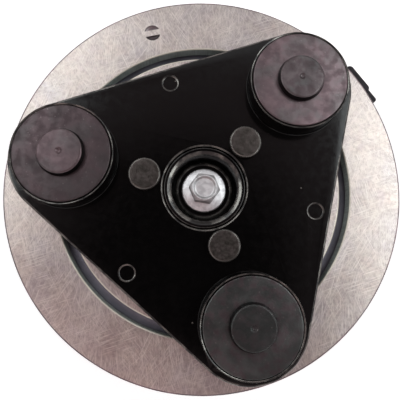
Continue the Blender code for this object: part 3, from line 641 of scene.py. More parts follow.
def black_paint():
    """Gloss black dip coat with a little orange peel and a few specks of dust."""
    look = Look("black_paint", 0.0, 0.3)
    specks = look.add("ShaderNodeTexVoronoi", Vector=look.mm, Scale=0.16, Randomness=1.0)
    dust = look.ramp(specks.outputs["Distance"], 0.03, 0.045, 0.6, 0.0)
    few = look.ramp(look.noise(0.11, 1.0, shift=5.0), 0.54, 0.57)
    cloud = look.noise(0.2, 4.0)
    colour = look.mix(cloud, (0.0010, 0.0010, 0.0012), (0.0024, 0.0022, 0.0020))
    colour = look.mix(look.math("MULTIPLY", dust, few), colour, (0.30, 0.29, 0.26))
    rough = look.ramp(look.noise(0.6, 5.0, shift=9.0), 0.3, 0.7, 0.11, 0.17)
    return look.finish(colour, rough, look.noise(0.9, 3.0), depth=0.00003, strength=0.2)


def shade(colour, level):
    return [c * level for c in colour]


def worn_paint(name, least, most):
    """The black coat on rounded edges, rubbed thin so that bare steel shines through."""
    look = Look(name, 0.0)
    bare = look.ramp(look.noise(0.30, 3.0, shift=21.0), 0.38, 0.62, least, most)
    colour = look.mix(bare, (0.0020, 0.0020, 0.0022), (0.26, 0.25, 0.23))
    look.feed(look.shader.inputs["Metallic"], bare)
    rough = look.ramp(look.noise(1.6, 4.0), 0.3, 0.7, 0.17, 0.25)
    return look.finish(colour, rough, look.noise(1.4, 4.0), depth=0.00002, strength=0.3)


def phosphate_steel(name="phosphate_steel", level=1.0, blotch=0.5, grey=0.0):
    """Dull phosphate coat, blotched from purple brown to greenish grey. Its level sets how light it is,
    which is painted light and shade where the caps, pins and pits use it.
    """
    look = Look(name, 0.85)
    broad = look.ramp(look.noise(0.13, 5.0, distortion=0.4), 0.40, 0.62)
    fine = look.ramp(look.noise(0.45, 6.0, shift=3.0, distortion=0.2), 0.38, 0.64)
    speck = look.ramp(look.noise(1.7, 2.0, shift=17.0), 0.69, 0.76)
    greyed = look.math("MAXIMUM", look.math("MULTIPLY", broad, blotch), grey)
    colour = look.mix(greyed, shade(COAT_LIGHT, level), shade(COAT_GREY, level))
    colour = look.mix(look.math("MULTIPLY", fine, blotch), colour, shade(COAT_DARK, level))
    cloud = look.noise(0.20, 5.0, shift=29.0, distortion=0.3)
    stain = look.ramp(cloud, 0.34, 0.66, 1.0 - 0.28 * blotch, 1.0 + 0.28 * blotch)
    colour = look.mix(1.0, colour, stain, "MULTIPLY")
    colour = look.mix(look.math("MULTIPLY", speck, 0.5), colour, (0.34, 0.31, 0.30))
    rough = look.ramp(fine, 0.0, 1.0, 0.33, 0.45)
    return look.finish(colour, rough, look.noise(1.6, 5.0), depth=0.00005, strength=0.4)


def rivet_steel():
    """Dark coated rivet, worn and blotched."""
    look = Look("rivet_steel", 0.85)
    blotch = look.ramp(look.noise(0.45, 5.0), 0.35, 0.68)
    colour = look.mix(blotch, (0.105, 0.092, 0.086), (0.062, 0.057, 0.050))
    rough = look.ramp(look.noise(1.2, 4.0, shift=4.0), 0.3, 0.7, 0.28, 0.42)
    return look.finish(colour, rough, look.noise(0.9, 4.0), depth=0.00006, strength=0.4)


def turned_metal(name, light, dark, rough, lines=6.0, metallic=1.0):
    """Metal with fine turning marks round the axis and soft blotches."""
    look = Look(name, metallic)
    parts = look.add("ShaderNodeSeparateXYZ", Vector=look.mm)
    flat = look.add("ShaderNodeCombineXYZ", X=parts.outputs["X"], Y=parts.outputs["Y"])
    radius = look.add("ShaderNodeVectorMath", {"operation": "LENGTH"}, Vector=flat.outputs["Vector"])
    path = look.add("ShaderNodeCombineXYZ", X=radius.outputs["Value"], Z=parts.outputs["Z"])
    marks = look.noise(lines, 3.0, path.outputs["Vector"])
    cloud = look.ramp(look.noise(0.14, 4.0), 0.34, 0.68)
    colour = look.mix(cloud, light, dark)
    colour = look.mix(look.ramp(marks, 0.4, 0.75, 0.0, 0.25), colour, shade(dark, 0.6))
    roughness = look.ramp(marks, 0.3, 0.7, rough - 0.06, rough + 0.08)
    return look.finish(colour, roughness, marks, depth=0.00003, strength=0.5)


def bolt_steel(name="bolt_steel", level=1.0):
    """Zinc-bright bolt with soft grey blotches. A level under one darkens it into a copy that paints
    shade.
    """
    look = Look(name, 1.0)
    blotch = look.ramp(look.noise(0.55, 5.0, distortion=0.4), 0.36, 0.66)
    colour = look.mix(blotch, shade((0.92, 0.92, 0.93), level), shade((0.66, 0.66, 0.67), level))
    rough = look.ramp(look.noise(1.4, 4.0, shift=2.0), 0.3, 0.7, 0.37, 0.48)
    return look.finish(colour, rough, look.noise(1.1, 4.0), depth=0.00004, strength=0.4)


def moulded(name, light, dark, rough, specular=0.5, grain=2.0):
    """Moulded rubber, resin or plastic with a fine grain."""
    look = Look(name, 0.0, specular)
    colour = look.mix(look.ramp(look.noise(0.35, 5.0), 0.35, 0.68), light, dark)
    roughness = look.ramp(look.noise(grain, 4.0, shift=6.0), 0.3, 0.7, rough - 0.07, rough + 0.07)
    return look.finish(colour, roughness, look.noise(grain, 5.0), depth=0.00005, strength=0.4)


def copper_wire():
    """Wound enamelled wire, seen as fine turns."""
    look = Look("copper_wire", 1.0)
    turns = look.add(
        "ShaderNodeTexWave",
        {"wave_type": "BANDS", "bands_direction": "Z"},
        Vector=look.mm,
        Scale=0.45,
        Distortion=0.4,
    ).outputs["Fac"]
    colour = look.mix(turns, (0.30, 0.10, 0.04), (0.72, 0.33, 0.16))
    return look.finish(colour, look.ramp(turns, 0.0, 1.0, 0.45, 0.28), turns, depth=0.0002, strength=0.8)


GROUND_STEEL = ground_steel()
PUNCHED_STEEL = punched_steel()
BLACK_PAINT = black_paint()
WORN_PAINT = worn_paint("worn_paint", 0.06, 0.76)
RUBBED_PAINT = worn_paint("rubbed_paint", 0.34, 0.76)
PHOSPHATE = phosphate_steel()
# Dark coat for the punch mark's pits and the disc's outer edge: painted shade
PIT_SHADE = phosphate_steel("pit_shade", 2.8, 0.6)
# Lit and shaded copies of one coat: each cap and pin has its own level of painted light and shade
CAP_COATS_PAINTED_LIGHT = [phosphate_steel(f"cap_coat_painted_light_{i + 1}", *coat) for i, coat in enumerate(CAP_LIGHT_AND_SHADE)]
PIN_COATS_PAINTED_LIGHT = [phosphate_steel(f"pin_coat_painted_light_{i + 1}", *coat) for i, coat in enumerate(PIN_LIGHT_AND_SHADE)]
RIVET_STEEL = rivet_steel()
BOLT_STEEL = bolt_steel()
# Darker copies of the bolt steel for the hexagon's chamfers and sides: painted shade
BOLT_SLOPE_SHADE = bolt_steel("bolt_slope_shade", 0.55)
BOLT_SIDE_SHADE = bolt_steel("bolt_side_shade", 0.3)
BEARING_STEEL = turned_metal("bearing_steel", (0.66, 0.66, 0.67), (0.56, 0.56, 0.58), 0.22)
PLATED_STEEL = turned_metal("plated_steel", (0.45, 0.44, 0.415), (0.34, 0.325, 0.30), 0.36)
RUBBER = moulded("rubber", (0.020, 0.020, 0.020), (0.012, 0.012, 0.013), 0.72, 0.3)
RESIN = moulded("resin", (0.022, 0.022, 0.024), (0.012, 0.012, 0.013), 0.45)
NYLON = moulded("nylon", (0.60, 0.57, 0.48), (0.50, 0.46, 0.37), 0.5)
CONNECTOR_PLASTIC = moulded("connector_plastic", (0.034, 0.030, 0.036), (0.020, 0.018, 0.022), 0.42, 0.2)
# Bright cream metal for the slots' rounded edges: a painted highlight
SLOT_EDGE_HIGHLIGHT = turned_metal("slot_edge_highlight", (0.93, 0.90, 0.78), (0.86, 0.83, 0.72), 0.34, metallic=0.45)
FRICTION_STEEL = turned_metal("friction_steel", (0.33, 0.33, 0.39), (0.25, 0.25, 0.30), 0.38)
TIN_PLATE = turned_metal("tin_plate", (0.78, 0.77, 0.75), (0.66, 0.65, 0.62), 0.30)
COPPER = copper_wire()

LOOK_OF_SLOT = {
    "ground_steel": GROUND_STEEL,
    "black_paint": BLACK_PAINT,
    "phosphate_steel": PHOSPHATE,
    "dark_rivet": RIVET_STEEL,
    "bolt_steel": BOLT_STEEL,
    "rubber": RUBBER,
    "bearing_steel": BEARING_STEEL,
    "plated_steel": PLATED_STEEL,
    "copper_wire": COPPER,
    "resin": RESIN,
    "nylon": NYLON,
    "connector_plastic": CONNECTOR_PLASTIC,
    "tin_plate": TIN_PLATE,
}


def dress_solids():
    """Gives every solid the finish of its slot, also where a fine piece stands for it."""
    for node, obj in frame["nodes"].items():
        obj.data.materials.clear()
        obj.data.materials.append(LOOK_OF_SLOT[SLOT_OF[node]])
        obj.data.shade_smooth()
        obj.data.set_sharp_from_angle(angle=math.radians(SHARP_SOLID))


def punch_mark(middle, top):
    """Cutter of the round punch mark, parted by the bar that crosses it."""
    pit = bmesh.new()
    shape = Matrix.Translation(middle) @ Matrix.Diagonal((*PUNCH_SIZE, 1.0))
    bmesh.ops.create_uvsphere(
        pit, u_segments=PIT_ROUND, v_segments=PIT_ROUND // 2, radius=1.0, matrix=shape
    )
    pits = from_bmesh("pits", pit)
    half = Vector((2 * PUNCH_REACH, PUNCH_BAR / 2))
    bar = [(-half.x, -half.y), (half.x, -half.y), (half.x, half.y), (-half.x, half.y)]
    bar = [(middle.x + x, middle.y + y) for x, y in turned_outline(bar, PUNCH_LEAN)]
    cutter = plate("bar", [bar], [], top - CUT_MARGIN, top + CUT_MARGIN)
    return combine(pits, cutter, "DIFFERENCE")


def armature():
    """Ground disc with its flux slots and one round punch mark that a bar crosses."""
    node = "armature_plate"
    top = front(node)
    margin = math.degrees(SLOT_MARGIN / SLOT_RADIUS)
    holes = [ring(bore(node), ROUND)]
    for number in DAMPERS:
        start = bearing_of(f"damper_cap_{number}") + margin
        holes.append(arc_slot(SLOT_RADIUS, SLOT_WIDTH, start, start + THIRD - 2 * margin, SLOT_STEPS))
    disc = plate(node, [ring(reach(node), DISC_ROUND)], holes, rear(node), top, ARMATURE_EDGE)
    pins = [centre(f"damper_pin_{number}") for number in DAMPERS]
    flared_holes(disc, pins, PIN_HOLE, PIN_FLARE, rear(node), top)
    mark = Vector((*polar(PUNCH_RADIUS, PUNCH_ANGLE), top))
    combine(disc, punch_mark(mark, top), "DIFFERENCE")
    stand_in(disc, node, GROUND_STEEL)
    edge = reach(node) - ARMATURE_EDGE

    def off_axis(face):
        return math.hypot(face.center.x, face.center.y)

    def in_slot(face):
        return abs(off_axis(face) - SLOT_RADIUS) < SLOT_WIDTH

    def outer(face):
        return off_axis(face) > edge and face.normal.z > SIDE_RISE

    def in_mark(face):
        return (face.center - mark).length < PUNCH_REACH and face.center.z < top - WELD

    repaint(disc, PUNCHED_STEEL, lambda face: in_slot(face) and abs(face.normal.z) < SIDE_RISE)
    # The slots' rounded edges get a bright cream metal: a painted highlight along them
    repaint(disc, SLOT_EDGE_HIGHLIGHT, lambda face: in_slot(face) and on_edge(face))
    # The punch mark's pits and the disc's outer rounded edge get a dark coat: painted shade
    repaint(disc, PIT_SHADE, lambda face: outer(face) or in_mark(face))


def coin_mark(number, face):
    """Cutter of the bevelled round mark that lies opposite a damper."""
    across, down = COIN_MARK_BEVEL
    place = polar(COIN_MARK_CIRCLE, bearing_of(f"damper_cap_{number}") + 180.0)
    return lathe("mark", [
        (0.0, face + down),
        (COIN_MARK_RADIUS + 2 * across, face + down),
        (COIN_MARK_RADIUS, face - down),
        (COIN_MARK_RADIUS, face - COIN_MARK_DEPTH),
        (0.0, face - COIN_MARK_DEPTH),
    ], HOLE_ROUND, place, solid=True)


def drawn_cup(number, root, face, rim):
    """Wall of a drawn cup, from its foot in the plate to its bevelled rim, with the seat of its cap."""
    seat = rear("damper_cap_1") - CAP_SEAT_DROP
    seat_radius = half_width("damper_cap_1") + GAP
    foot = CUP_RADIUS + CUP_FILLET
    return lathe("cup", [
        (CUP_RADIUS, rim, RIM_ROUND),
        (CUP_RADIUS, face - CUP_SINK, CUP_FILLET),
        (foot, face - CUP_SINK),
        (foot, root),
        (CUP_BORE, root),
        (CUP_BORE, seat, RIM_ROUND),
        (seat_radius, seat),
        (seat_radius, rim - RIM_BEVEL[1]),
        (seat_radius + RIM_BEVEL[0], rim),
    ], SMALL_ROUND, centre(f"damper_cap_{number}"))


def hub_plate():
    """Pressed plate with rounded edges, drawn cups and coined marks."""
    node = "hub_plate"
    low = rear(node)
    face = low + PLATE_THICKNESS
    rim = front(node)
    outline = []
    holes = [ring(SPIGOT_HOLE, SMALL_ROUND)]
    for number in DAMPERS:
        angle = bearing_of(f"damper_cap_{number}")
        middle = centre(f"damper_cap_{number}")
        outline += arc(CORNER_RADIUS, angle - THIRD / 2, angle + THIRD / 2, PLATE_CORNER_STEPS, middle)
        holes.append(ring(CUP_BORE + CUP_ENTRY, SMALL_ROUND, middle))
        holes.append(ring(RIVET_HOLE, HOLE_ROUND, centre(f"hub_rivet_{number}")))
    body = plate(node, [outline], holes, low, face, PLATE_EDGE)
    for number in DAMPERS:
        combine(body, coin_mark(number, face), "DIFFERENCE")
    for number in DAMPERS:
        combine(body, drawn_cup(number, low + PLATE_THICKNESS / 2, face, rim), "UNION")
    stand_in(body, node, BLACK_PAINT)

    def rubbed(part):
        return on_edge(part) and not face < part.center.z < rim - CUP_FILLET

    repaint(body, WORN_PAINT, rubbed)


def damper_cap(number):
    """Cap with an eased edge."""
    node = f"damper_cap_{number}"
    outer = half_width(node)
    cap = lathe(node, [
        (outer, front(node), CAP_ROUND),
        (outer, rear(node), CAP_ROUND),
        (PIN_HOLE, rear(node)),
        (PIN_HOLE, front(node)),
    ], SMALL_ROUND, centre(node))
    stand_in(cap, node, CAP_COATS_PAINTED_LIGHT[number - 1])


def damper_pin(number):
    """Riveted pin with a raised, dimpled head that holds the cap. The head's sides are black as painted
    shade.
    """
    node = f"damper_pin_{number}"
    head = half_width(node)
    top = front(node)
    seat = top - HEAD_HEIGHT
    tail = rear(node)
    pin = lathe(node, [
        (0.0, top - DIMPLE_DEPTH),
        (DIMPLE_RADIUS / 2, top - DIMPLE_DEPTH, DIMPLE_RADIUS / 2),
        (DIMPLE_RADIUS, top, DIMPLE_RADIUS / 4),
        (head - HEAD_TAPER, top, HEAD_ROUND),
        (head, seat, HEAD_ROUND / 2),
        (PIN_SHANK, seat),
        (PIN_SHANK, tail + PIN_FLARE),
        (PIN_SHANK + PIN_FLARE - GAP, tail),
        (0.0, tail),
    ], SMALL_ROUND, centre(node), solid=True)
    stand_in(pin, node, PIN_COATS_PAINTED_LIGHT[number - 1])
    # The head's sides get black paint: painted shade, not a coat the pin has
    repaint(pin, BLACK_PAINT, lambda face: abs(face.normal.z) < HEAD_SIDE_RISE)


def hub_rivet(number):
    """Rivet with a flat top and a rounded shoulder."""
    node = f"hub_rivet_{number}"
    head = half_width(node)
    top = front(node)
    seat = top - RIVET_HEAD_HEIGHT
    tail = rear(node)
    rivet = lathe(node, [
        (0.0, top),
        (head - RIVET_HEAD_ROUND, top - RIVET_CROWN),
        (head, top - RIVET_CROWN, RIVET_HEAD_ROUND),
        (head, seat, GAP),
        (RIVET_SHANK, seat),
        (RIVET_SHANK, tail + RIVET_FLARE),
        (RIVET_SHANK + RIVET_FLARE - GAP, tail),
        (0.0, tail),
    ], SMALL_ROUND, centre(node), solid=True)
    stand_in(rivet, node, RIVET_STEEL)
    repaint(rivet, RUBBED_PAINT, on_edge)


def hub_boss():
    """Painted boss: rounded spigot with the bolt's recess, flange behind the plate and splined bore."""
    node = "hub_boss"
    top = front(node)
    flange_front = rear("hub_plate") - GAP
    flange_rear = rear("hub_rivet_1") - GAP
    floor = top - RECESS_DEPTH
    seat = floor - SEAT_WEB
    boss = lathe(node, [
        (SPIGOT, top, BOSS_ROUND),
        (SPIGOT, flange_front),
        (reach(node), flange_front, BOSS_ROUND),
        (reach(node), flange_rear, BOSS_ROUND),
        (BOSS_TUBE, flange_rear),
        (BOSS_TUBE, rear(node), BOSS_ROUND),
        (SPLINE_RADIUS, rear(node), BOSS_ROUND),
        (SPLINE_RADIUS, seat),
        (BOLT_SHANK + GAP, seat),
        (BOLT_SHANK + GAP, floor),
        (RECESS_FLOOR, floor, 2 * BOSS_ROUND),
        (RECESS_THROAT, top - RECESS_BEVEL, BOSS_ROUND),
        (RECESS_MOUTH, top, BOSS_ROUND),
    ], SMALL_ROUND)
    tooth = 360.0 / SPLINE_COUNT
    star = []
    for i in range(SPLINE_COUNT):
        for side, part in ((-1, -1 / 4), (1, -1 / 6), (1, 1 / 6), (-1, 1 / 4)):
            star.append(polar(SPLINE_RADIUS + side * SPLINE_DEPTH, tooth * (i + part)))
    spline_top = rear("air_gap_shim") - GAP
    combine(boss, plate("spline", [star], [], rear(node) - CUT_MARGIN, spline_top), "DIFFERENCE")
    rivets = [centre(f"hub_rivet_{number}") for number in DAMPERS]
    flared_holes(boss, rivets, RIVET_HOLE, RIVET_FLARE, flange_rear, flange_front)
    stand_in(boss, node, BLACK_PAINT)
    repaint(boss, WORN_PAINT, on_edge)


def shaft_bolt():
    """Flange bolt: a coned flange under a hexagon with chamfered corners and a dished top."""
    node = "shaft_bolt"
    tip = rear(node)
    seat = tip + BOLT_LENGTH
    flange = reach(node)
    cone_top = seat + BOLT_FLANGE_HEIGHT
    top = front(node)
    corner = BOLT_HEX_FLATS / math.sqrt(3.0)
    body = lathe(node, [
        (0.0, cone_top),
        (BOLT_HEX_FLATS / 2, cone_top),
        (flange, seat + BOLT_FLANGE_EDGE, BOLT_FLANGE_EDGE / 2),
        (flange, seat, GAP),
        (BOLT_SHANK, seat),
        (BOLT_SHANK, tip + BOLT_CHAMFER),
        (BOLT_SHANK - BOLT_CHAMFER, tip),
        (0.0, tip),
    ], SMALL_ROUND, solid=True)
    outline = [polar(corner, BOLT_HEX_TURN + 60.0 * i) for i in range(6)]
    hexagon = plate("hexagon", [outline], [], seat + BOLT_FLANGE_HEIGHT / 2, top)
    crown = lathe("crown", [
        (0.0, top - DISH_DEPTH),
        (DISH_RADIUS, top - DISH_DEPTH, DISH_DEPTH),
        (DISH_RIM, top, DISH_DEPTH),
        (BOLT_HEX_FLATS / 2 - DISH_DEPTH, top, DISH_DEPTH),
        (corner + GAP, top - CROWN_DROP),
        (corner + GAP, seat),
        (0.0, seat),
    ], SMALL_ROUND, solid=True)
    combine(hexagon, crown, "INTERSECT")
    combine(body, hexagon, "UNION")
    stand_in(body, node, BOLT_STEEL)
    # The hexagon's chamfers and sides take darker copies of the bolt steel, as painted shade
    repaint(body, BOLT_SLOPE_SHADE, lambda face: on_edge(face) and face.center.z > cone_top)
    repaint(body, BOLT_SIDE_SHADE, lambda face: abs(face.normal.z) < HEX_SIDE_RISE and face.center.z > cone_top)


def rotor():
    """Rotor cup with its bearing seat and two rows of flux slots through the friction face."""
    node = "rotor"
    face = front(node)
    disc_rear = face - ROTOR_DISC
    outer = reach(node)
    cup_inner = outer - ROTOR_CUP_WALL
    seat = reach("bearing_outer_ring") + GAP
    hub_outer = seat + ROTOR_HUB_WALL
    lip = bore(node)
    groove = reach("bearing_circlip") + GAP
    groove_rear = rear("bearing_circlip") - GAP
    groove_front = front("bearing_circlip") + GAP / 2
    body = lathe(node, [
        (outer, face, ROTOR_EDGE),
        (outer, ROTOR_CUP_REAR, ROTOR_EDGE),
        (cup_inner, ROTOR_CUP_REAR, ROTOR_EDGE),
        (cup_inner, disc_rear, ROTOR_CORNER),
        (hub_outer, disc_rear, ROTOR_CORNER),
        (hub_outer, rear(node), ROTOR_EDGE),
        (seat, rear(node), ROTOR_EDGE),
        (seat, groove_rear),
        (groove, groove_rear),
        (groove, groove_front),
        (seat, groove_front),
        (seat, face - ROTOR_LIP),
        (lip, face - ROTOR_LIP),
        (lip, face, ROTOR_EDGE),
    ], ROUND)
    pitch = 360.0 / ROTOR_SLOTS
    radii = (hub_outer + ROTOR_SLOT_INSETS[0], cup_inner - ROTOR_SLOT_INSETS[1])
    slots = []
    for row, radius in enumerate(radii):
        for i in range(ROTOR_SLOTS):
            start = pitch * (i + row / 2) + ROTOR_SLOT_BRIDGE / 2
            end = start + pitch - ROTOR_SLOT_BRIDGE
            slots.append(arc_slot(radius, ROTOR_SLOT_WIDTH, start, end, ROTOR_SLOT_STEPS))
    combine(body, plate("slots", slots, [], disc_rear - CUT_MARGIN, face + CUT_MARGIN), "DIFFERENCE")
    stand_in(body, node, GROUND_STEEL)
    repaint(body, FRICTION_STEEL, lambda part: part.normal.z > FLAT_RISE and part.center.z > face - WELD)


def pulley_rim():
    """Ribbed rim with rounded rib tips between two flanges."""
    node = "pulley_rim"
    outer = reach(node)
    tip = outer - RIM_LIP
    root = tip - GROOVE_DEPTH
    low = rear(node)
    top = front(node)
    count = int((top - low - 2 * RIM_FLANGE) / GROOVE_PITCH)
    flange = (top - low - count * GROOVE_PITCH) / 2
    half_floor = GROOVE_FLOOR / 2
    half_mouth = half_floor + GROOVE_DEPTH * math.tan(math.radians(GROOVE_FLANK))
    profile = [(outer, top, RIM_EDGE), (outer, top - flange, RIM_EDGE)]
    for i in range(count):
        middle = top - flange - GROOVE_PITCH * (i + 0.5)
        profile += [
            (tip, middle + half_mouth, RIB_ROUND),
            (root, middle + half_floor, RIB_ROUND),
            (root, middle - half_floor, RIB_ROUND),
            (tip, middle - half_mouth, RIB_ROUND),
        ]
    profile += [(outer, low + flange, RIM_EDGE), (outer, low, RIM_EDGE)]
    profile += [(bore(node), low, RIM_EDGE), (bore(node), top, RIM_EDGE)]
    stand_in(lathe(node, profile, ROUND), node, PLATED_STEEL)


def ball_track(side):
    """Half-round ball track in a ring's profile, from front to rear. Side is 1 in the outer ring."""
    pitch = math.hypot(*centre("bearing_ball_1"))
    middle = (rear("bearing_ball_1") + front("bearing_ball_1")) / 2
    radius = front("bearing_ball_1") - middle + GAP
    half = math.degrees(math.acos(BEARING_SHOULDER / radius))
    return [(pitch + side * x, middle + y) for x, y in arc(radius, half, -half, TRACK_STEPS)]


def bearing_rings():
    """Rings with rounded shoulders and their ball tracks."""
    for node, side in (("bearing_inner_ring", -1), ("bearing_outer_ring", 1)):
        low = rear(node)
        top = front(node)
        track = ball_track(side)
        shoulder = track[0][0]
        back = bore(node) if side < 0 else reach(node)
        profile = [(shoulder, top, SHOULDER_ROUND / 2)] + track + [
            (shoulder, low, SHOULDER_ROUND / 2),
            (back, low, SHOULDER_ROUND),
            (back, top, SHOULDER_ROUND),
        ]
        stand_in(lathe(node, profile, ROUND), node, BEARING_STEEL)


def bearing_seals():
    """Beaded seals, and the open circlip that holds the bearing."""
    for node in ("bearing_seal_front", "bearing_seal_rear"):
        low = rear(node)
        top = front(node)
        inner = bore(node)
        outer = reach(node)
        waist = (inner + outer) / 2
        seal = lathe(node, [
            (outer, top, SEAL_ROUND),
            (outer, low, SEAL_ROUND),
            (waist + SEAL_BEAD, low, SEAL_ROUND),
            (waist, low + SEAL_GROOVE, SEAL_ROUND),
            (waist - SEAL_BEAD, low, SEAL_ROUND),
            (inner, low, SEAL_ROUND),
            (inner, top, SEAL_ROUND),
            (waist - SEAL_BEAD, top, SEAL_ROUND),
            (waist, top - SEAL_GROOVE, SEAL_ROUND),
            (waist + SEAL_BEAD, top, SEAL_ROUND),
        ], ROUND)
        stand_in(seal, node, RUBBER)
    stand_in(rounded_copy("bearing_circlip", CLIP_EDGE), "bearing_circlip", PLATED_STEEL)


def coil_housing():
    """Coil housing with eased rims."""
    node = "coil_housing"
    low = rear(node)
    top = front(node)
    inner = bore(node)
    outer = reach(node)
    housing = lathe(node, [
        (outer, top, COIL_EDGE),
        (outer, low, COIL_CORNER),
        (inner, low, COIL_CORNER),
        (inner, top, COIL_EDGE),
        (inner + COIL_WALL, top, COIL_EDGE),
        (inner + COIL_WALL, low + COIL_REAR_WALL, COIL_CORNER),
        (outer - COIL_WALL, low + COIL_REAR_WALL, COIL_CORNER),
        (outer - COIL_WALL, top, COIL_EDGE),
    ], ROUND)
    stand_in(housing, node, PLATED_STEEL)


def mounting_plate():
    """Ring plate with rounded edges, a drawn collar behind the bearing and the connector's tongue."""
    node = "mounting_plate"
    angle = bearing_of("lead_cover")
    outer = reach("coil_housing")
    nose = bore("bearing_inner_ring")
    collar = nose + COLLAR_WALL
    half = TONGUE_WIDTH / 2
    spread = math.degrees(math.asin(half / outer))
    tongue = local_box("connector_housing", angle)[0].x + TONGUE_REACH
    outline = arc(outer, spread, 360.0 - spread, ROUND) + [(tongue, -half), (tongue, half)]
    screw_circle = (collar + bore("coil_housing")) / 2
    holes = [ring(nose, SMALL_ROUND)]
    for i in range(SCREW_COUNT):
        turn = angle + 360.0 * (i + 0.5) / SCREW_COUNT
        holes.append(ring(SCREW_RADIUS, HOLE_ROUND, polar(screw_circle, turn)))
    low = rear(node)
    body = plate(node, [turned_outline(outline, angle)], holes, low, low + MOUNT_THICKNESS, MOUNT_EDGE)
    root = low + MOUNT_THICKNESS / 2
    tube = lathe("collar", [
        (collar, front(node), MOUNT_EDGE),
        (collar, root),
        (nose, root),
        (nose, front(node), MOUNT_EDGE),
    ], SMALL_ROUND)
    combine(body, tube, "UNION")
    stand_in(body, node, PLATED_STEEL)


def connector():
    """Moulded plug housing with rounded corners, its latch and its open socket, and the lead cover."""
    node = "connector_housing"
    angle = bearing_of("lead_cover")
    low, high = local_box(node, angle)
    half = high.y
    foot = rear("lead_cover")
    shroud = low.x + TONGUE_REACH + GAP
    wall = CONNECTOR_WALL

    def part(name, corner, opposite, heights, radius=CONNECTOR_CORNER, edge=CONNECTOR_EDGE):
        outline = turned_outline(round_rectangle(corner, opposite, radius), angle)
        return plate(name, [outline], [], *heights, edge)

    outer = (high.x, half)
    latch_top = high.z - wall
    body = part(node, (low.x, -half), outer, (foot, high.z))
    combine(body, part("skirt", (shroud, -half), outer, (low.z, latch_top)), "UNION")
    latch_root = (high.x - LATCH_SETBACK, wall - half)
    latch_heights = (latch_top - LATCH_HEIGHT, latch_top)
    latch = part("latch", (shroud, low.y), latch_root, latch_heights, 2 * CONNECTOR_EDGE)
    combine(body, latch, "UNION")
    socket_heights = (low.z - CUT_MARGIN, low.z + SOCKET_DEPTH)
    mouth = (shroud + wall, wall - half)
    socket = part("socket", mouth, (high.x - wall, half - wall), socket_heights, CONNECTOR_EDGE, 0.0)
    combine(body, socket, "DIFFERENCE")
    stand_in(body, node, CONNECTOR_PLASTIC)
    stand_in(rounded_copy("lead_cover", LEAD_COVER_EDGE), "lead_cover", CONNECTOR_PLASTIC)


def photo_to_part(vector):
    """Turns a vector from the photograph's plane into the part's frame."""
    return Matrix.Rotation(math.radians(PHOTO_TURN), 3, "Z") @ Vector(vector)


def camera():
    """The photograph's camera, placed from the disc's front face."""
    data = bpy.data.cameras.new("photo_camera")
    data.sensor_width = SENSOR_WIDTH
    data.lens = FOCAL_PIXELS / PHOTO_WIDTH * SENSOR_WIDTH
    data.clip_start, data.clip_end = CAMERA_CLIP
    tilt = Matrix.Rotation(math.radians(CAMERA_TILT_X), 3, "X")
    tilt = tilt @ Matrix.Rotation(math.radians(CAMERA_TILT_Y), 3, "Y")
    turn = Matrix.Rotation(math.radians(PHOTO_TURN), 3, "Z")
    place = photo_to_part(tilt.transposed() @ -Vector(CAMERA_OFFSET))
    place.z += front("armature_plate")
    obj = add_object("photo_camera", data)
    obj.matrix_world = Matrix.LocRotScale(place, (turn @ tilt.transposed()).to_quaternion(), None)
    bpy.context.scene.camera = obj


def softbox(name, azimuth, tilt, size, radiance, colour):
    """A soft area light, placed by its direction in the photograph and its tilt from straight above."""
    data = bpy.data.lights.new(name, "AREA")
    data.shape = "RECTANGLE"
    data.size, data.size_y = size
    data.energy = radiance * math.pi * size[0] * size[1]
    data.color = colour
    lean = math.radians(tilt)
    x, y = polar(math.sin(lean), azimuth)
    toward = photo_to_part((x, y, math.cos(lean)))
    obj = add_object(name, data)
    obj.location = toward * SOFTBOX_DISTANCE + Vector((0.0, 0.0, front("armature_plate")))
    obj.rotation_euler = toward.to_track_quat("Z", "Y").to_euler()


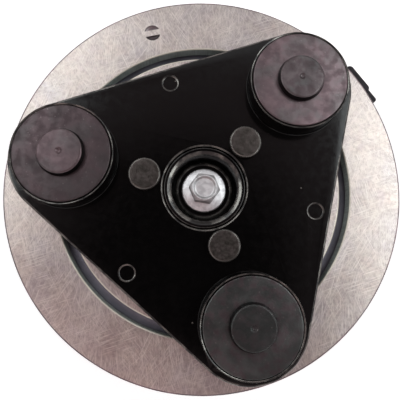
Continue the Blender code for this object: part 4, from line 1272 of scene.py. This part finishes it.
def studio_white():
    """White floor that keeps its shadow and reads as white to the camera and in reflections."""
    made = bpy.data.materials.new("studio_white")
    made.use_nodes = True
    made.node_tree.nodes.clear()
    nodes = Nodes(made.node_tree)
    path = nodes.add("ShaderNodeLightPath").outputs
    seen = path["Is Camera Ray"]
    for name in ("Is Glossy Ray", "Is Transmission Ray"):
        seen = nodes.math("MAXIMUM", seen, path[name])
    glow = nodes.add("ShaderNodeEmission", Strength=nodes.math("MULTIPLY", seen, FLOOR_GLOW))
    paint = nodes.add("ShaderNodeBsdfDiffuse", Color=(*FLOOR_COLOUR, 1.0))
    both = nodes.add("ShaderNodeAddShader")
    nodes.feed(both.inputs[0], glow.outputs["Emission"])
    nodes.feed(both.inputs[1], paint.outputs["BSDF"])
    nodes.add("ShaderNodeOutputMaterial", Surface=both.outputs["Shader"])
    return made


def studio_floor():
    """Pale floor that sweeps up into a wall all round."""
    sweep = bmesh.new()
    rows = []
    for outward, height in FLOOR_SWEEP:
        outline = ring(FLOOR_RADIUS + outward, FLOOR_FACETS)
        rows.append([sweep.verts.new((x, y, height)) for x, y in outline])
    sweep.faces.new(rows[0])
    for lower, upper in zip(rows, rows[1:]):
        for i in range(FLOOR_FACETS):
            j = (i + 1) % FLOOR_FACETS
            sweep.faces.new((lower[i], upper[i], upper[j], lower[j]))
    mesh = bpy.data.meshes.new("studio_floor")
    sweep.to_mesh(mesh)
    sweep.free()
    mesh.materials.append(studio_white())
    mesh.shade_smooth()
    add_object("studio_floor", mesh)


def room():
    """A dim warm room that is darker straight overhead and low down."""
    world = bpy.data.worlds.new("room")
    bpy.context.scene.world = world
    world.use_nodes = True
    nodes = Nodes(world.node_tree)
    place = nodes.add("ShaderNodeTexCoord")
    parts = nodes.add("ShaderNodeSeparateXYZ", Vector=place.outputs["Generated"])
    fades = []
    for (near, far), low, high in ((CEILING_EDGE, 1.0, CEILING_LEVEL), (WALL_EDGE, WALL_LEVEL, 1.0)):
        edge = math.cos(math.radians(far)), math.cos(math.radians(near))
        fades.append(nodes.ramp(parts.outputs["Z"], *edge, low, high))
    background = world.node_tree.nodes["Background"]
    nodes.feed(background.inputs["Color"], (*AMBIENT, 1.0))
    nodes.feed(background.inputs["Strength"], nodes.math("MULTIPLY", *fades))


def studio():
    """The floor, two soft boxes, two weak lights between them and the room."""
    studio_floor()
    for row in SOFTBOXES:
        softbox(*row)
    room()
    bpy.context.scene.view_settings.view_transform = "Standard"


def main():
    dress_solids()
    armature()
    hub_plate()
    for number in DAMPERS:
        damper_cap(number)
        damper_pin(number)
    for number in DAMPERS:
        hub_rivet(number)
    hub_boss()
    shaft_bolt()
    rotor()
    pulley_rim()
    bearing_rings()
    bearing_seals()
    coil_housing()
    mounting_plate()
    connector()
    studio()
    camera()


main()
